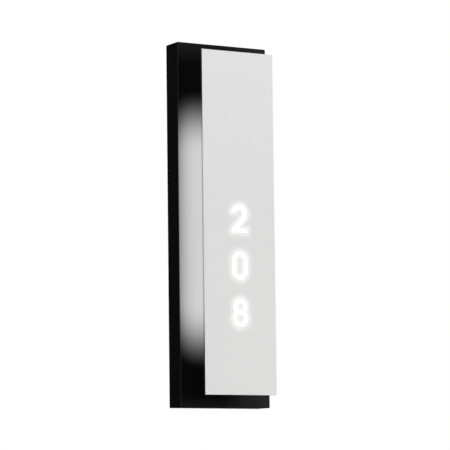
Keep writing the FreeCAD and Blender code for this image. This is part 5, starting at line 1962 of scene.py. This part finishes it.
@dataclass
class NumberPlate(SubAssembly):
    """The numbered plate and what carries it."""

    softened: tuple[tuple, ...] = (("plate_core", 0.12), ("digit_panel", 0.3))
    kept: tuple[str, ...] = ("counter_cores",)
    screws: tuple[ScrewSet, ...] = (
        ScrewSet("standoff_screws", head_mm=(4.0, 2.6), shank_radius_mm=2.0, pitch_mm=0.7, outward=False),
    )
    spacer_mm: tuple[float, float, float] = (4.0, 2.05, 0.4)
    stud_radius_mm: float = 2.0
    stud_pitch_mm: float = 0.7
    stud_facets: int = 24
    plate_edge_mm: float = 0.12
    numeral_edge_mm: float = 0.1
    field_mm: float = 1.2
    halo_reach_mm: float = 6.0
    numeral_nodes: tuple[str, ...] = ("digit_two", "digit_zero", "digit_eight")

    def steps(self) -> list[Step]:
        """Lists the plate's steps."""
        return [self.spacers, self.studs, self.front]

    def spacers(self) -> None:
        """Turns the four aluminium spacers with chamfered ends."""
        low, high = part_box("standoffs")
        radius, bore, chamfer = metres(self.spacer_mm)
        length = high.y - low.y
        outline = [
            (bore, 0.0), (radius - chamfer, 0.0), (radius, chamfer), (radius, length - chamfer),
            (radius - chamfer, length), (bore, length),
        ]
        places = places_in("standoffs", radius, high.y)
        spacer = turned("spacer_1", places[0], OUT, outline, closed=True)
        install_row(spacer, "spacer", places, "standoffs")

    def studs(self) -> None:
        """Turns the plate's threaded studs."""
        low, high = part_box("plate_studs")
        radius = self.stud_radius_mm * MM
        length = high.y - low.y
        outline = [*Thread(radius, self.stud_pitch_mm * MM).profile(0.0, length), (0.0, length)]
        places = places_in("plate_studs", radius, high.y)
        stud = turned("plate_stud_1", places[0], OUT, outline, facets=self.stud_facets)
        install_row(stud, "plate_stud", places, "plate_studs")

    def front(self) -> None:
        """Softens the skin, the numerals and their islands, and measures each to the numerals' outlines."""
        outlines = outline_tree(self.numeral_nodes)
        fronts = [("face_plate", "satin_skin", self.plate_edge_mm)]
        fronts += [(node, f"lit_{node}", self.numeral_edge_mm) for node in self.numeral_nodes]
        fronts.append(("counter_faces", "satin_counter_faces", self.numeral_edge_mm))
        lows, highs = zip(*[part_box(numeral) for numeral in self.numeral_nodes])
        reach = self.halo_reach_mm * MM
        lowest = [min(corner[axis] for corner in lows) - reach for axis in range(3)]
        highest = [max(corner[axis] for corner in highs) + reach for axis in range(3)]
        for node, name, edge_mm in fronts:
            own_low, own_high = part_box(node)
            low = Vector([max(ends) for ends in zip(lowest, own_low)])
            high = Vector([min(ends) for ends in zip(highest, own_high)])
            piece = round_edges(copy_of_node(node, name), edge_mm)
            measure_outline(piece, outlines, low, high, self.field_mm)
            install(shade(piece, SHEET_CREASE_ANGLE), node)


# Studio

@dataclass(frozen=True)
class SoftLamp:
    """A large soft lamp that faces the light from some distance."""

    name: str
    azimuth_degrees: float
    elevation_degrees: float
    distance: float
    size: float
    watts: float
    mirrored: bool = True

    def light(self, target: Vector) -> None:
        """Puts the lamp in the scene, turned to its target.

        Args:
            target: The point that it faces.
        """
        azimuth, elevation = math.radians(self.azimuth_degrees), math.radians(self.elevation_degrees)
        level = math.cos(elevation)
        towards = Vector((math.sin(azimuth) * level, -math.cos(azimuth) * level, math.sin(elevation)))
        lamp = bpy.data.lights.new(self.name, "AREA")
        lamp.shape = "DISK"
        lamp.size = self.size
        lamp.energy = self.watts
        holder = bpy.data.objects.new(self.name, lamp)
        holder.location = target + towards * self.distance
        holder.rotation_euler = towards.to_track_quat("Z", "Y").to_euler()
        holder.visible_glossy = self.mirrored
        bpy.context.scene.collection.objects.link(holder)


@dataclass(frozen=True)
class PhotoCamera:
    """A long lens from the lower left, as in the photo."""

    place: tuple[float, float, float] = (-1.3483, -2.3778, -0.2990)
    yaw_degrees: float = 29.854
    pitch_degrees: float = 6.299
    roll_degrees: float = -0.680
    lens_mm: float = 198.69
    sensor_mm: float = 36.0
    nearest: float = 0.05

    def set_up(self) -> None:
        """Adds the camera and makes it the scene's."""
        camera = bpy.data.cameras.new("photo_camera")
        camera.lens = self.lens_mm
        camera.sensor_width = self.sensor_mm
        camera.clip_start = self.nearest
        holder = bpy.data.objects.new("photo_camera", camera)
        turn = Matrix.Rotation(-math.radians(self.yaw_degrees), 4, "Z")
        turn @= Matrix.Rotation(math.pi / 2 + math.radians(self.pitch_degrees), 4, "X")
        turn @= Matrix.Rotation(math.radians(self.roll_degrees), 4, "Z")
        holder.matrix_world = Matrix.Translation(self.place) @ turn
        bpy.context.scene.collection.objects.link(holder)
        bpy.context.scene.camera = holder


@dataclass
class Studio:
    """A pale floor, a white surround and soft lamps."""

    ambient: float = 0.2
    floor_gap: float = 0.2
    floor_size: float = 24.0
    floor_colour: str = "#f1f1ef"
    camera: PhotoCamera = PhotoCamera()
    lamps: tuple[SoftLamp, ...] = (
        SoftLamp(
            "key_lamp", azimuth_degrees=48, elevation_degrees=5, distance=2.8, size=1.2, watts=74,
            mirrored=False,
        ),
        SoftLamp("top_lamp", azimuth_degrees=0, elevation_degrees=68, distance=2.6, size=2.0, watts=18),
        SoftLamp("back_lamp", azimuth_degrees=176, elevation_degrees=34, distance=2.8, size=2.2, watts=48),
    )

    def build(self) -> None:
        """Sets the surround, the floor, the lamps and the camera."""
        bpy.context.scene.view_settings.view_transform = "Standard"
        self.surround()
        self.floor()
        for lamp in self.lamps:
            lamp.light(Vector((0.0, 0.0, 0.0)))
        self.camera.set_up()

    def surround(self) -> None:
        """Makes the surround white to the eye and in reflections, and a plain grey light on surfaces."""
        world = bpy.data.worlds.new("white_surround")
        bpy.context.scene.world = world
        world.use_nodes = True
        world.node_tree.nodes.clear()
        sheet = NodeSheet(world.node_tree)
        seen = sheet.seen_by("Is Camera Ray", "Is Glossy Ray", "Is Transmission Ray")
        strength = sheet.add("MapRange", {"Value": seen, "To Min": self.ambient, "To Max": 1.0})
        light = sheet.add("Background", {"Color": linear("#ffffff"), "Strength": strength})
        sheet.add("OutputWorld", {"Surface": light})

    def floor(self) -> None:
        """Lays the floor below the light and the camera."""
        select_only()
        level = CAD_BOX[0].z - self.floor_gap
        bpy.ops.mesh.primitive_plane_add(size=self.floor_size, location=(0.0, 0.0, level))
        floor = settle(bpy.context.active_object)
        floor.name = "studio_floor"
        paint(floor, StudioFloor(name="pale_floor_paint", colour=self.floor_colour, roughness=0.8))


def main() -> None:
    """Builds each sub-assembly and the studio, and reports them."""
    logging.basicConfig(level=logging.INFO, format="%(message)s")
    parts: list[SubAssembly] = [
        WallTray(), TerminalBlock(), EarthPoint(), Driver(), Wiring(), PlugConnection(), CaseShell(),
        LightBox(), NumberPlate(),
    ]
    for part in parts:
        part.build()
        log.info("%s is built", type(part).__name__)
    Studio().build()


if __name__ == "__main__":
    main()
